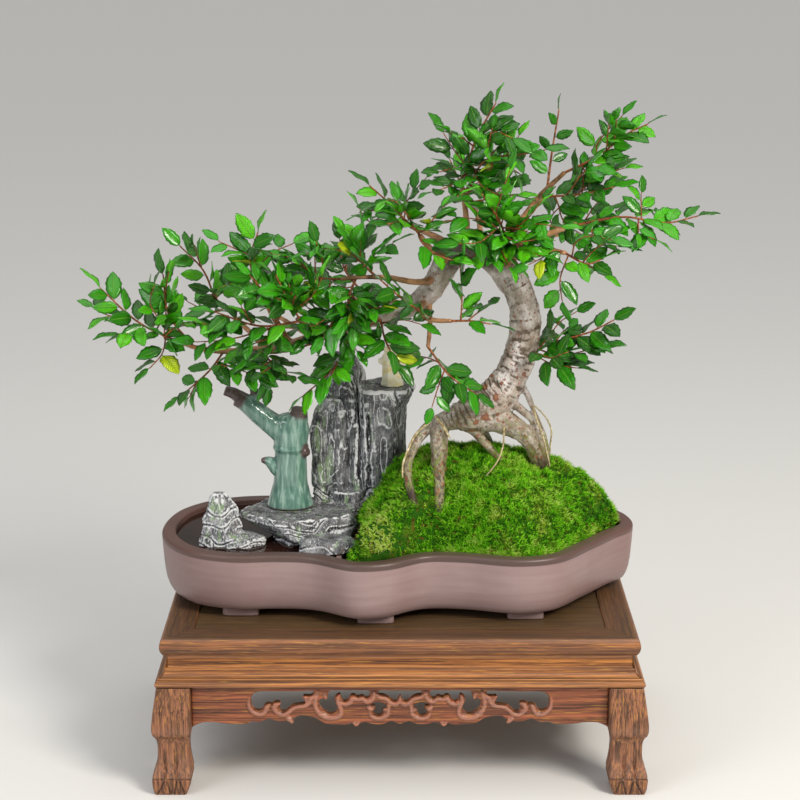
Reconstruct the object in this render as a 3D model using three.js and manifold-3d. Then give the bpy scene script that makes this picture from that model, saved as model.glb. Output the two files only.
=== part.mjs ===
// A Chinese elm bonsai on stilt roots, in a lobed clay tray with a pool, stones and moss, on a carved
// wooden stand. Millimetres, +Z up, +X to the right as seen from the front, +Y away from the viewer. The
// origin is on the floor under the middle of the stand.
import * as THREE from "three";
import { mergeVertices } from "three/addons/utils/BufferGeometryUtils.js";
import Module from "manifold-3d";

const wasm = await Module();
wasm.setup();

// Driving dimensions

const FIT = 0.3; // gap kept between pieces that touch
const STAND_TOP = 158; // height of the stand's top
const STAND_HALF_X = 231.5; // half length of the stand's top frame
const STAND_HALF_Y = 138; // half depth of the stand's top frame
const TRAY_BOTTOM = 164; // underside of the tray, on its feet
const TRAY_FLOOR = 172; // inside floor of the tray
const TRAY_RIM = 225; // top of the rim
const RIM_WIDTH = 14; // width of the rim, and thickness of the wall under it
const WATER_LEVEL = 219;
const MOSS_CENTRE = new THREE.Vector2(75, 8);
const MOSS_RISE = 85; // height of the moss mound over the rim
const MOSS_THICKNESS = 12;
const LEAF_LENGTH = 27;
const LEAF_WIDTH_SHARE = 0.5; // of the leaf's length
const LEAF_THICKNESS = 0.8;
const TWIG_RADIUS = 2;
const TWIG_TIP_RADIUS = 1.5;

// Places on the tree are given as the plant is seen from the front by an eye at EYE, on a sheet that stands
// at right angles to its sight line and goes through AIM: u to the right and v up on that sheet, and y the
// depth at which the sight line is followed.
const AIM = new THREE.Vector3(0, 0, 360);
const EYE_DISTANCE = 2000;
const EYE_TILT = THREE.MathUtils.degToRad(14.6);
const SIGHT = new THREE.Vector3(0, Math.cos(EYE_TILT), -Math.sin(EYE_TILT));
const SHEET_UP = new THREE.Vector3(0, Math.sin(EYE_TILT), Math.cos(EYE_TILT));
const EYE = AIM.clone().addScaledVector(SIGHT, -EYE_DISTANCE);

function at(u, v, y) {
  const ray = new THREE.Vector3(u, 0, 0).addScaledVector(SHEET_UP, v).addScaledVector(SIGHT, EYE_DISTANCE);
  return EYE.clone().addScaledVector(ray, (y - EYE.y) / ray.y);
}

// Materials

const material = (color, roughness, metalness = 0) =>
  new THREE.MeshStandardMaterial({ color, roughness, metalness });
const wood = material(0x6b4529, 0.55);
const woodPanel = material(0x5d4028, 0.6);
const clay = material(0x7a6262, 0.6);
const soilEarth = material(0x3a2a1e, 1);
const mossGreen = material(0x4f8a1c, 1);
const bark = material(0xa89a88, 0.85);
const leafGreen = material(0x2f8f24, 0.45);
const stone = material(0x55565a, 0.8);
const celadon = material(0x6d9486, 0.2);
const ivoryGlaze = material(0xe6e3bf, 0.4);
const poolWater = material(0x2c1712, 0.05);

// Solids and meshes

function solidOf(geometry) {
  const bare = new THREE.BufferGeometry();
  bare.setAttribute("position", geometry.getAttribute("position"));
  bare.setIndex(geometry.index);
  const merged = mergeVertices(bare, 1e-4);
  const mesh = new wasm.Mesh({
    numProp: 3,
    vertProperties: new Float32Array(merged.attributes.position.array),
    triVerts: new Uint32Array(merged.index.array),
  });
  return new wasm.Manifold(mesh);
}

function geometryOf(solid) {
  const { vertProperties, triVerts, numProp } = solid.getMesh();
  const positions = new Float32Array((vertProperties.length / numProp) * 3);
  for (let i = 0; i < positions.length / 3; i++) {
    positions.set(vertProperties.subarray(i * numProp, i * numProp + 3), i * 3);
  }
  const geometry = new THREE.BufferGeometry();
  geometry.setAttribute("position", new THREE.BufferAttribute(positions, 3));
  geometry.setIndex(new THREE.BufferAttribute(new Uint32Array(triVerts), 1));
  geometry.computeVertexNormals();
  return geometry;
}

const root = new THREE.Group();

function addMesh(name, shape, look) {
  const mesh = new THREE.Mesh(shape.isBufferGeometry ? shape : geometryOf(shape), look);
  mesh.name = name;
  root.add(mesh);
  return mesh;
}

const joined = (solids) => wasm.Manifold.union(solids);

// The largest body of a solid: a cut can leave loose scraps, which are dropped.
function largestBody(solid) {
  return solid.decompose().reduce((best, body) => (body.volume() > best.volume() ? body : best));
}

// A closed skin over a stack of rings of points, each ring with the same number of points, counterclockwise
// seen from the last ring. The slant of the lines that split its four-sided faces can be turned.
function loft(rings, { turned = false } = {}) {
  const count = rings[0].length;
  const positions = rings.flat().flatMap((p) => [p.x, p.y, p.z]);
  const faces = [];
  for (let r = 0; r + 1 < rings.length; r++) {
    for (let i = 0; i < count; i++) {
      const a = r * count + i;
      const b = r * count + ((i + 1) % count);
      const [c, d] = [b + count, a + count];
      faces.push(...(turned ? [a, b, d, b, c, d] : [a, b, c, a, c, d]));
    }
  }
  const capped = (ring, first, flipped) => {
    const middle = ring.reduce((sum, p) => sum.add(p), new THREE.Vector3()).divideScalar(count);
    const hub = positions.length / 3;
    positions.push(middle.x, middle.y, middle.z);
    for (let i = 0; i < count; i++) {
      const a = first + i;
      const b = first + ((i + 1) % count);
      faces.push(...(flipped ? [hub, b, a] : [hub, a, b]));
    }
  };
  capped(rings[0], 0, true);
  capped(rings.at(-1), (rings.length - 1) * count, false);
  const geometry = new THREE.BufferGeometry();
  geometry.setAttribute("position", new THREE.Float32BufferAttribute(positions, 3));
  geometry.setIndex(faces);
  return geometry;
}

// A tapering tube along points: its radius runs evenly through the list of radii. A wobble is added to the
// radius as a function of the share of the length and of the angle.
function tube(points, radii, sides, { steps, grow = 0, wobble = () => 0 }) {
  const curve = new THREE.CatmullRomCurve3(points, false, "centripetal");
  const frames = curve.computeFrenetFrames(steps, false);
  const rings = [];
  for (let k = 0; k <= steps; k++) {
    const share = k / steps;
    const place = share * (radii.length - 1);
    const low = Math.min(Math.floor(place), radii.length - 2);
    const radius = THREE.MathUtils.lerp(radii[low], radii[low + 1], place - low);
    const centre = curve.getPointAt(share);
    rings.push(
      Array.from({ length: sides }, (_, i) => {
        const angle = (i / sides) * 2 * Math.PI;
        const reach = radius + grow + wobble(share, angle);
        return centre
          .clone()
          .addScaledVector(frames.normals[k], Math.cos(angle) * reach)
          .addScaledVector(frames.binormals[k], Math.sin(angle) * reach);
      }),
    );
  }
  return solidOf(loft(rings));
}

// A seeded row of draws from 0 to 1, by a linear congruential rule.
function draws(seed) {
  let state = seed;
  return () => {
    state = (state * 1664525 + 1013904223) % 4294967296;
    return state / 4294967296;
  };
}

// The wooden stand

const RAIL_WIDTH = 31;
const RAIL_BOTTOM = 140.4;
const WAIST_BOTTOM = 109.8;
const PANEL_DROP = 1.5; // the panel lies this far under the frame's top
const PANEL_THICKNESS = 9;

// A straight moulding with mitred ends: profile points are [inset from the stand's edge, height].
function mouldingAlongX(profile) {
  const ring = (end) =>
    profile.map(([inset, z]) => {
      const reach = STAND_HALF_X - inset - FIT / 2;
      return new THREE.Vector3(end * reach, -STAND_HALF_Y + inset, z);
    });
  return loft([ring(-1), ring(1)]);
}

function mouldingAlongY(profile) {
  const ring = (end) =>
    profile.map(([inset, z]) => {
      const reach = STAND_HALF_Y - inset - FIT / 2;
      return new THREE.Vector3(-STAND_HALF_X + inset, end * reach, z);
    });
  return loft([ring(1), ring(-1)]);
}

function addFourSides(prefix, profile) {
  addMesh(`${prefix}_front`, mouldingAlongX(profile), wood);
  addMesh(`${prefix}_back`, mouldingAlongX(profile), wood).rotation.z = Math.PI;
  addMesh(`${prefix}_left`, mouldingAlongY(profile), wood);
  addMesh(`${prefix}_right`, mouldingAlongY(profile), wood).rotation.z = Math.PI;
}

function addTopFrame() {
  const railProfile = [
    [3.5, STAND_TOP],
    [0.8, 155],
    [0, 150],
    [1.5, 144],
    [4.5, RAIL_BOTTOM],
    [RAIL_WIDTH, RAIL_BOTTOM],
    [RAIL_WIDTH, STAND_TOP],
  ];
  addFourSides("stand_rail", railProfile);
  const inset = RAIL_WIDTH + FIT;
  const [width, depth] = [2 * (STAND_HALF_X - inset), 2 * (STAND_HALF_Y - inset)];
  const panel = new THREE.BoxGeometry(width, depth, PANEL_THICKNESS);
  addMesh("stand_panel", panel, woodPanel).position.z = STAND_TOP - PANEL_DROP - PANEL_THICKNESS / 2;
}

function addWaist() {
  const waistProfile = [
    [7, RAIL_BOTTOM - FIT],
    [7, 128],
    [4.5, 126.2],
    [3.5, 121.5],
    [-2.5, 118],
    [-5, 115],
    [-4, WAIST_BOTTOM + 1],
    [0, WAIST_BOTTOM],
    [24, WAIST_BOTTOM],
    [24, RAIL_BOTTOM - FIT],
  ];
  addFourSides("stand_waist", waistProfile);
}

// Each leg bulges at its knee, draws in at the ankle and ends in a broad paw: [height, outward, inward] of
// its square section, measured from the edge lines of the stand's top.
const LEG_SECTIONS = [
  [0, 9.5, 28],
  [11, 10, 28],
  [26, 6, 26],
  [45, 4, 25],
  [60, 5, 28],
  [67, 9.5, 29],
  [84, 8, 29],
  [WAIST_BOTTOM - FIT, 4, 29],
];
const LEG_CHAMFER = 4;
const LEG_INNER = 29;

function legGeometry(signX, signY) {
  const rings = LEG_SECTIONS.map(([z, out, inward]) => {
    const corners = [
      [out - LEG_CHAMFER, out],
      [-inward, out],
      [-inward, -inward],
      [out, -inward],
      [out, out - LEG_CHAMFER],
    ].map(([x, y]) => new THREE.Vector3(signX * (STAND_HALF_X + x), signY * (STAND_HALF_Y + y), z));
    return signX * signY > 0 ? corners : corners.reverse();
  });
  return loft(rings);
}

function addLegs() {
  const corners = { front_left: [-1, -1], front_right: [1, -1], back_left: [-1, 1], back_right: [1, 1] };
  for (const [corner, signs] of Object.entries(corners)) {
    addMesh(`stand_leg_${corner}`, legGeometry(...signs), wood);
  }
}

const APRON_THICKNESS = 10;
const APRON_INSET = 2;

// The aprons' cusped lower edges from the middle towards the leg, as [x, height]; each ends at its leg at
// the height of EDGE_AT_LEG.
const LONG_EDGE = [
  [0, 69.4], [28, 70.7], [52.5, 69.1], [73, 70.7], [93, 77.3], [109, 70.5], [126, 74], [151, 69.1], [188, 70.7],
];
const SHORT_EDGE = [[0, 69.4], [28, 70.7], [52.5, 69.1], [71, 70.3], [86, 75.8], [98, 73.3]];
const EDGE_AT_LEG = 65;

// The right half of the long aprons' openwork, as outlines of [x, height] that are mirrored about the
// middle: a scroll at the end, a hooked scroll and a small trefoil.
const END_HOLE = [
  [88, 103.1], [143, 103.7], [147.5, 95.7], [145, 86.5], [137.5, 82.6], [129.6, 89.7], [119, 91.8],
  [120.5, 86], [116, 80.8], [108, 86.8], [97, 93.2],
];
const HOOK_HOLE = [
  [31.5, 103.6], [71, 103], [75.5, 95.7], [81, 88], [77, 80.2], [66, 78.2], [58.5, 81], [56.7, 89.6],
  [48, 98], [38, 97.2],
];
const TREFOIL_HOLE = [[15.4, 86.5], [22.3, 90.4], [28.4, 86.8], [28, 79.6], [18.3, 78.9]];
const MIDDLE_HOLE = [
  [-24.6, 103.2], [24.6, 103.5], [20, 97.3], [8, 91.8], [0, 97.4], [-8, 92.1], [-20, 97],
];

function apronGeometry(halfLength, lowerEdge, holes) {
  const edge = [...lowerEdge, [halfLength, EDGE_AT_LEG]];
  const top = WAIST_BOTTOM - FIT;
  const outline = [
    [-halfLength, top],
    ...edge.map(([x, z]) => [-x, z]).reverse(),
    ...edge.slice(1),
    [halfLength, top],
  ];
  const vectors = (points) => points.map(([x, z]) => new THREE.Vector2(x, z));
  const shape = new THREE.Shape(vectors(outline));
  shape.holes = holes.map((points) => new THREE.Path(vectors(points)));
  const geometry = new THREE.ExtrudeGeometry(shape, { depth: APRON_THICKNESS, bevelEnabled: false });
  return geometry.rotateX(Math.PI / 2);
}

function addAprons() {
  const mirrored = (holes) => [...holes, ...holes.map((points) => points.map(([x, z]) => [-x, z]))];
  const longHalf = STAND_HALF_X - LEG_INNER - FIT;
  const shortHalf = STAND_HALF_Y - LEG_INNER - FIT;
  const shortHoles = [...mirrored([HOOK_HOLE, TREFOIL_HOLE]), MIDDLE_HOLE];
  const longHoles = [...mirrored([END_HOLE]), ...shortHoles];
  const reach = APRON_INSET + APRON_THICKNESS;
  const places = {
    front: [longHalf, LONG_EDGE, longHoles, [0, -STAND_HALF_Y + reach], 0],
    back: [longHalf, LONG_EDGE, longHoles, [0, STAND_HALF_Y - reach], Math.PI],
    left: [shortHalf, SHORT_EDGE, shortHoles, [-STAND_HALF_X + reach, 0], -Math.PI / 2],
    right: [shortHalf, SHORT_EDGE, shortHoles, [STAND_HALF_X - reach, 0], Math.PI / 2],
  };
  for (const [side, [half, lowerEdge, holes, [x, y], turn]] of Object.entries(places)) {
    const apron = addMesh(`stand_apron_${side}`, apronGeometry(half, lowerEdge, holes), wood);
    apron.position.set(x, y, 0);
    apron.rotation.z = turn;
  }
}

// The clay tray

// The tray's lobed outline at the rim, counterclockwise seen from above.
const TRAY_OUTLINE = [
  [-242, 5], [-233, -35], [-206, -70], [-162, -87], [-122, -85], [-88, -89], [-45, -113], [-12, -109],
  [26, -86], [62, -87], [115, -99], [155, -88], [190, -48], [216, -14], [238, 14], [234, 52],
  [204, 90], [158, 104], [110, 100], [60, 106], [8, 115], [-42, 108], [-88, 104], [-140, 115],
  [-192, 103], [-229, 66],
];
const TRAY_STEPS = 40;
const TRAY_FEET = [[-158, -60], [-24, -82], [124, -70], [150, 76], [4, 86], [-150, 86]];
const FOOT_SIZE = [36, 20];
const FOOT_SINK = 2; // how far a foot runs up into the tray

const trayCurve = new THREE.CatmullRomCurve3(
  TRAY_OUTLINE.map(([x, y]) => new THREE.Vector3(x, y, 0)),
  true,
  "centripetal",
);

// The tray's outline drawn in by an inset, at a height.
function trayRing(inset, z) {
  return Array.from({ length: TRAY_STEPS }, (_, k) => {
    const share = k / TRAY_STEPS;
    const point = trayCurve.getPoint(share);
    const tangent = trayCurve.getTangent(share);
    return new THREE.Vector3(point.x - tangent.y * inset, point.y + tangent.x * inset, z);
  });
}

// The wall that parts the pool from the soil, along a line of points seen from above.
const PARTITION = [[-60, -110], [-60, -14], [-90, 28], [-106, 112]];
const PARTITION_TOP = 221;
const PARTITION_HALF = 3;

function partitionSolid(half, low, high) {
  const line = PARTITION.map(([x, y]) => new THREE.Vector2(x, y));
  const side = (sign) =>
    line.map((p, i) => {
      const before = line[Math.max(i - 1, 0)];
      const after = line[Math.min(i + 1, line.length - 1)];
      const along = after.clone().sub(before).normalize();
      return new THREE.Vector2(p.x - along.y * half * sign, p.y + along.x * half * sign);
    });
  const shape = new THREE.Shape([...side(-1), ...side(1).reverse()]);
  const geometry = new THREE.ExtrudeGeometry(shape, { depth: high - low, bevelEnabled: false });
  return solidOf(geometry.translate(0, 0, low));
}

function traySolid() {
  const outer = [[22, TRAY_BOTTOM], [8, 168], [1.5, 188], [0, 222], [4, TRAY_RIM]];
  const body = solidOf(loft(outer.map(([inset, z]) => trayRing(inset, z))));
  const hollow = [[22, TRAY_FLOOR], [RIM_WIDTH, 182], [RIM_WIDTH, TRAY_RIM + 1]];
  const cavity = solidOf(loft(hollow.map(([inset, z]) => trayRing(inset, z))));
  const wall = partitionSolid(PARTITION_HALF, TRAY_FLOOR - 1, PARTITION_TOP);
  const wallLine = RIM_WIDTH - 6;
  const within = solidOf(loft([trayRing(wallLine, TRAY_FLOOR - 2), trayRing(wallLine, PARTITION_TOP + 1)]));
  const feet = TRAY_FEET.map(([x, y]) => {
    const height = TRAY_BOTTOM + FOOT_SINK - STAND_TOP;
    const foot = new THREE.BoxGeometry(...FOOT_SIZE, height);
    const base = STAND_TOP - PANEL_DROP + FIT;
    return solidOf(foot.translate(x, y, base + height / 2));
  });
  return joined([body.subtract(cavity), wall.intersect(within), ...feet]);
}

// Soil and moss

const MOUND_RAYS = 26;
const MOUND_MARGIN = 4; // how far the moss stays from the wall
const MOUND_RINGS = [0.3, 0.6, 0.84, 1];

// The reach of the planted side from MOSS_CENTRE at an angle: as far as the tray's wall or the partition.
function mossReach(angle) {
  const direction = new THREE.Vector2(Math.cos(angle), Math.sin(angle));
  const wall = trayRing(RIM_WIDTH, 0);
  const segments = wall.map((p, i) => [p, wall[(i + 1) % wall.length]]);
  for (let i = 0; i + 1 < PARTITION.length; i++) {
    const shifted = (p) => new THREE.Vector3(p[0] + PARTITION_HALF + 3.5, p[1], 0);
    segments.push([shifted(PARTITION[i]), shifted(PARTITION[i + 1])]);
  }
  let nearest = Infinity;
  for (const [a, b] of segments) {
    const edge = new THREE.Vector2(b.x - a.x, b.y - a.y);
    const offset = new THREE.Vector2(a.x - MOSS_CENTRE.x, a.y - MOSS_CENTRE.y);
    const across = direction.cross(edge);
    const distance = offset.cross(edge) / across;
    const along = offset.cross(direction) / across;
    if (distance > 0 && along >= 0 && along <= 1) nearest = Math.min(nearest, distance);
  }
  return nearest - MOUND_MARGIN;
}

// The mound's height over a point at a share of the way out: a dome, less steep at the front, with cushions.
function moundHeight(share, angle, x, y) {
  const front = Math.max(0, -Math.sin(angle));
  const back = Math.max(0, Math.sin(angle));
  const fall = Math.max(0, 1 - Math.pow(share, 2 - 0.5 * back - 0.2 * front));
  const dome = Math.pow(fall, 0.6 + 0.5 * front);
  const cushions = 3 * Math.sin(x / 13 + 1) * Math.sin(y / 11 + 0.4) * (1 - share);
  return TRAY_RIM - 3 + MOSS_RISE * dome + cushions;
}

function moundRings(drop) {
  return MOUND_RINGS.map((share) =>
    Array.from({ length: MOUND_RAYS }, (_, k) => {
      const angle = (k / MOUND_RAYS) * 2 * Math.PI;
      const reach = mossReach(angle) * share;
      const x = MOSS_CENTRE.x + Math.cos(angle) * reach;
      const y = MOSS_CENTRE.y + Math.sin(angle) * reach;
      return new THREE.Vector3(x, y, moundHeight(share, angle, x, y) - drop);
    }),
  );
}

function soilSolid() {
  const flat = (ring, z, shrink) =>
    ring.map((p) => {
      const out = new THREE.Vector2(p.x - MOSS_CENTRE.x, p.y - MOSS_CENTRE.y);
      out.multiplyScalar(1 - shrink / out.length());
      return new THREE.Vector3(MOSS_CENTRE.x + out.x, MOSS_CENTRE.y + out.y, z);
    });
  const top = moundRings(MOSS_THICKNESS + FIT).reverse();
  return solidOf(loft([flat(top[0], TRAY_FLOOR + FIT, 18), flat(top[0], 192, 1), ...top], { turned: true }));
}

// The level seat that the rockery stands on, cut into the soil.
const SEAT_LEVEL = 222;
const SEAT_OUTLINE = [[-125, -12], [12, -12], [22, 20], [22, 62], [4, 92], [-125, 92]];

function rockerySeat() {
  const shape = new THREE.Shape(SEAT_OUTLINE.map(([x, y]) => new THREE.Vector2(x, y)));
  const geometry = new THREE.ExtrudeGeometry(shape, { depth: 100, bevelEnabled: false });
  return solidOf(geometry.translate(0, 0, SEAT_LEVEL - FIT));
}

// The bay in the moss that the rockery fills.
const BAY_OUTLINE = [
  [-135, -95], [-41, -95], [-38, -60], [-42, -20], [-24, -4], [-10, 14], [8, 22], [14, 50], [8, 78],
  [-16, 88], [-135, 94],
];

function rockeryBay() {
  const shape = new THREE.Shape(BAY_OUTLINE.map(([x, y]) => new THREE.Vector2(x, y)));
  const geometry = new THREE.ExtrudeGeometry(shape, { depth: 120, bevelEnabled: false });
  return solidOf(geometry.translate(0, 0, TRAY_RIM - 20));
}

function mossSolid() {
  const under = moundRings(MOSS_THICKNESS);
  const over = moundRings(0).reverse();
  return solidOf(loft([...under, ...over]));
}

// Stones

// A weathered stone: rings of an uneven outline, given as [x, y, z] of each ring's middle with its half sizes
// along X and Y. The outline has grooves that run up the stone, by a sum of sines.
function stoneSolid(levels, { sides = 9, grooves = 0.12, phase = 0, grow = 0 } = {}) {
  const rings = levels.map(([x, y, z, halfX, halfY], level) => {
    const lift = level === 0 ? -grow : level === levels.length - 1 ? grow : 0;
    return Array.from({ length: sides }, (_, i) => {
      const angle = (i / sides) * 2 * Math.PI;
      const slow = Math.sin(3 * angle + 2 * phase + level * 0.5);
      const rough = 1 + grooves * (Math.sin(5 * angle + phase) + 0.6 * slow);
      const across = Math.cos(angle) * (halfX * rough + grow);
      const deep = Math.sin(angle) * (halfY * rough + grow);
      const isEnd = level === 0 || level === levels.length - 1;
      const ripple = isEnd ? 0 : 0.02 * halfX * Math.sin(3 * angle + phase);
      return new THREE.Vector3(x + across, y + deep, z + lift + ripple);
    });
  });
  return solidOf(loft(rings));
}

const SHELF_TOP = 245; // where the stump stands
const LEDGE_TOP = 365; // where the pagoda stands

// The cliff with its left column, its tall middle and the ledged block that carries the pagoda, on stepped
// strata, with the shelf that reaches out over the pool and its foot down to the tray's floor.
function rockerySolid(grow = 0) {
  const left = [
    [-66, 46, 236, 24, 19], [-69, 45, 262, 21, 17], [-70, 44, 292, 18, 16], [-72, 44, 318, 19, 15],
    [-68, 46, 340, 16, 14], [-66, 47, 352, 9, 9],
  ];
  const middle = [
    [-48, 52, SEAT_LEVEL, 24, 26], [-46, 54, 270, 19, 22], [-48, 54, 315, 20, 20], [-54, 56, 350, 19, 19],
    [-58, 58, 378, 17, 16], [-60, 58, 396, 10, 11],
  ];
  const right = [
    [-20, 50, SEAT_LEVEL, 26, 27], [-20, 50, 262, 22, 25], [-20, 48, 310, 21, 25], [-20, 47, 342, 23, 26],
    [-16, 46, 356, 27, 30], [-14, 46, LEDGE_TOP, 29, 31],
  ];
  const strata = [
    [-54, 44, SEAT_LEVEL, 38, 28], [-53, 45, 244, 37, 27], [-52, 46, 247, 33, 24], [-52, 46, 258, 32, 23],
  ];
  const shelf = [
    [-88, 0, SEAT_LEVEL, 40, 42], [-96, 4, 232, 52, 44], [-104, 6, 240, 56, 45], [-104, 6, SHELF_TOP, 53, 43],
  ];
  const foot = [
    [-102, -24, TRAY_FLOOR + FIT, 14, 17], [-103, -20, 200, 16, 19], [-104, -16, 223, 20, 20],
  ];
  return joined([
    stoneSolid(left, { phase: 1, grow }),
    stoneSolid(middle, { phase: 2.2, grow }),
    stoneSolid(right, { phase: 0.4, grooves: 0.08, grow }),
    stoneSolid(strata, { phase: 3, grooves: 0.08, grow }),
    stoneSolid(shelf, { phase: 4, grooves: 0.06, grow }),
    stoneSolid(foot, { phase: 5, grow }),
  ]);
}

const peakLevels = [
  [-168, -28, TRAY_FLOOR + FIT, 30, 17], [-168, -28, 219, 33, 18], [-168, -29, 227, 32, 15],
  [-178, -28, 230, 21, 12], [-180, -27, 246, 18, 10], [-178, -27, 256, 15, 9], [-181, -26, 266, 9, 7],
  [-181, -26, 272, 5, 4],
];
const slabLevels = [
  [-84, -60, TRAY_FLOOR + FIT, 8, 6], [-85, -60, 221.3, 15, 12], [-73, -61, 222, 28, 15],
  [-71, -61, 228.5, 28, 14], [-77, -57, 234, 20, 10],
];

const peakSolid = (grow = 0) => stoneSolid(peakLevels, { phase: 2, grooves: 0.09, grow });
const slabSolid = (grow = 0) => stoneSolid(slabLevels, { phase: 1.4, grooves: 0.05, sides: 11, grow });

// The water fills the pool side of the tray round the stones that stand in it.
function waterSolid(stones) {
  const rings = [[22 + FIT, TRAY_FLOOR + FIT], [RIM_WIDTH + FIT, 182], [RIM_WIDTH + FIT, WATER_LEVEL]];
  const filled = solidOf(loft(rings.map(([inset, z]) => trayRing(inset, z))));
  const parted = filled.subtract(partitionSolid(PARTITION_HALF + FIT, TRAY_FLOOR - 1, PARTITION_TOP + 1));
  const leftEnd = (body) => body.boundingBox().min[0];
  const pool = parted.decompose().reduce((best, body) => (leftEnd(body) < leftEnd(best) ? body : best));
  return largestBody(stones.reduce((water, cut) => water.subtract(cut), pool));
}

// The glazed stump

const STUMP_FOOT = [-112, 14];

function stumpSolid() {
  const [x, y] = STUMP_FOOT;
  const base = SHELF_TOP + FIT;
  const rings = [
    [0, 24, 20], [9, 21.5, 18], [24, 17.5, 15], [58, 16, 14], [62, 18.5, 16], [66, 17, 15],
    [80, 19, 15], [92, 16, 13], [97, 9, 8],
  ].map(([height, halfX, halfY]) =>
    Array.from({ length: 9 }, (_, i) => {
      const angle = (i / 9) * 2 * Math.PI;
      const middle = x + height * 0.02;
      const z = base + height;
      return new THREE.Vector3(middle + halfX * Math.cos(angle), y + halfY * Math.sin(angle), z);
    }),
  );
  const limb = (points, radii) => {
    const path = points.map(([dx, dy, dz]) => new THREE.Vector3(x + dx, y + dy, base + dz));
    return tube(path, radii, 6, { steps: points.length });
  };
  return joined([
    solidOf(loft(rings)),
    limb([[-4, 0, 76], [-24, -1, 92], [-44, -2, 109], [-52, -2, 114]], [13, 11.5, 10, 8.5]),
    limb([[-38, -2, 104], [-54, -3, 118], [-64, -4, 122]], [8, 6.5, 5]),
    limb([[-36, -2, 106], [-34, -2, 119], [-36, -2, 124]], [5, 5, 4]),
    limb([[8, 0, 84], [10, -3, 97], [11, -4, 103]], [11, 10, 8]),
    limb([[-12, 0, 40], [-22, 0, 47], [-29, 0, 48]], [9, 6, 2]),
    limb([[12, -4, 56], [19, -8, 60]], [6, 4.5]),
  ]);
}

// The pagoda

const PAGODA_PLACE = [-8, 44];

// A turned tower of eight sides in tiers: [height, radius] from its foot to its finial.
function pagodaGeometry() {
  const profile = [
    [0, 12.5], [3, 11.5], [21, 11], [23.5, 15.3], [25.5, 15.3], [30, 9.8], [36, 9.4], [37.5, 10.4],
    [41.5, 5], [43, 6.2], [44.5, 3.4], [49, 1.8],
  ];
  const [x, y] = PAGODA_PLACE;
  const rings = profile.map(([height, radius]) =>
    Array.from({ length: 8 }, (_, i) => {
      const angle = ((i + 0.5) / 8) * 2 * Math.PI;
      const z = LEDGE_TOP + FIT + height;
      return new THREE.Vector3(x + radius * Math.cos(angle), y + radius * Math.sin(angle), z);
    }),
  );
  return loft(rings);
}

// The tree: trunk, stilt roots and limbs in one grown piece. Each route is a list of [u, v, y] with radii.
const TRUNK = {
  route: [
    [48, -20, 3], [66, -15, 3], [94, 0, 4], [114, 30, 6], [123, 58, 8], [125, 84, 9], [120, 104, 10],
    [110, 124, 10], [96, 140, 10], [80, 149, 10], [64, 151, 9], [50, 141, 8], [38, 122, 7], [26, 105, 6],
    [8, 92, 5], [-22, 83, 3], [-60, 72, 1], [-94, 60, 0], [-124, 51, -1], [-158, 49, -3],
  ],
  radii: [
    9, 19, 19, 17.5, 16, 15.5, 15, 15, 14.5, 13.5, 12.5, 11.5, 10.5, 9.5, 8.5, 7.5, 6.5, 5.8, 5, 4.2,
  ],
};

const ROOTS = {
  front: {
    route: [
      [56, -18, 2], [42, -24, -6], [39.5, -46, -18], [38.5, -75, -32], [38, -98, -41],
      [37.6, -121, -47], [37.6, -136, -52],
    ],
    radii: [12, 10, 8.5, 7.5, 6.5, 6, 5.6],
  },
  left: {
    route: [
      [50, -18, 6], [33, -24, 2], [20, -37, -12], [12, -52, -26], [7.5, -69, -40], [9.5, -86, -51],
      [14, -104, -57], [15, -116, -59],
    ],
    radii: [9, 7, 5.4, 4.8, 4.6, 4.4, 4.2, 4],
  },
  body: {
    route: [
      [52, -16, 2], [84, -17, -1], [106, -22, -2], [122, -32, -4], [133, -46, -4], [138, -60, -1],
      [139.5, -74, 2.5], [139.5, -86, 5],
    ],
    radii: [12, 18, 14, 11.5, 9.5, 8, 6.5, 6],
  },
  right: {
    route: [
      [104, 2, 4], [118, -7, 2], [131, -19, -1], [139, -37, -3], [143, -56, -3], [144, -71, 2],
      [144, -82, 4],
    ],
    radii: [6, 4.5, 3.6, 3.2, 3, 2.8, 2.6],
  },
  outer: {
    route: [
      [112, 22, 6], [126, 8, 4], [134, -12, 0], [143, -31, -2], [148, -52, -3], [147.5, -70, 1],
      [147, -80, 3],
    ],
    radii: [5, 3.4, 2.4, 2.1, 2, 2, 1.9],
  },
  middle: {
    route: [[70, -26, 0], [86, -44, -8], [99, -58, -10], [107, -66, -10], [113, -73, -10]],
    radii: [6, 4.4, 3.8, 3.2, 2.6],
  },
  back: {
    route: [[76, -20, 8], [84, -36, 24], [92, -52, 34], [98, -66, 40]],
    radii: [9, 6.5, 5.5, 5],
  },
};

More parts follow.
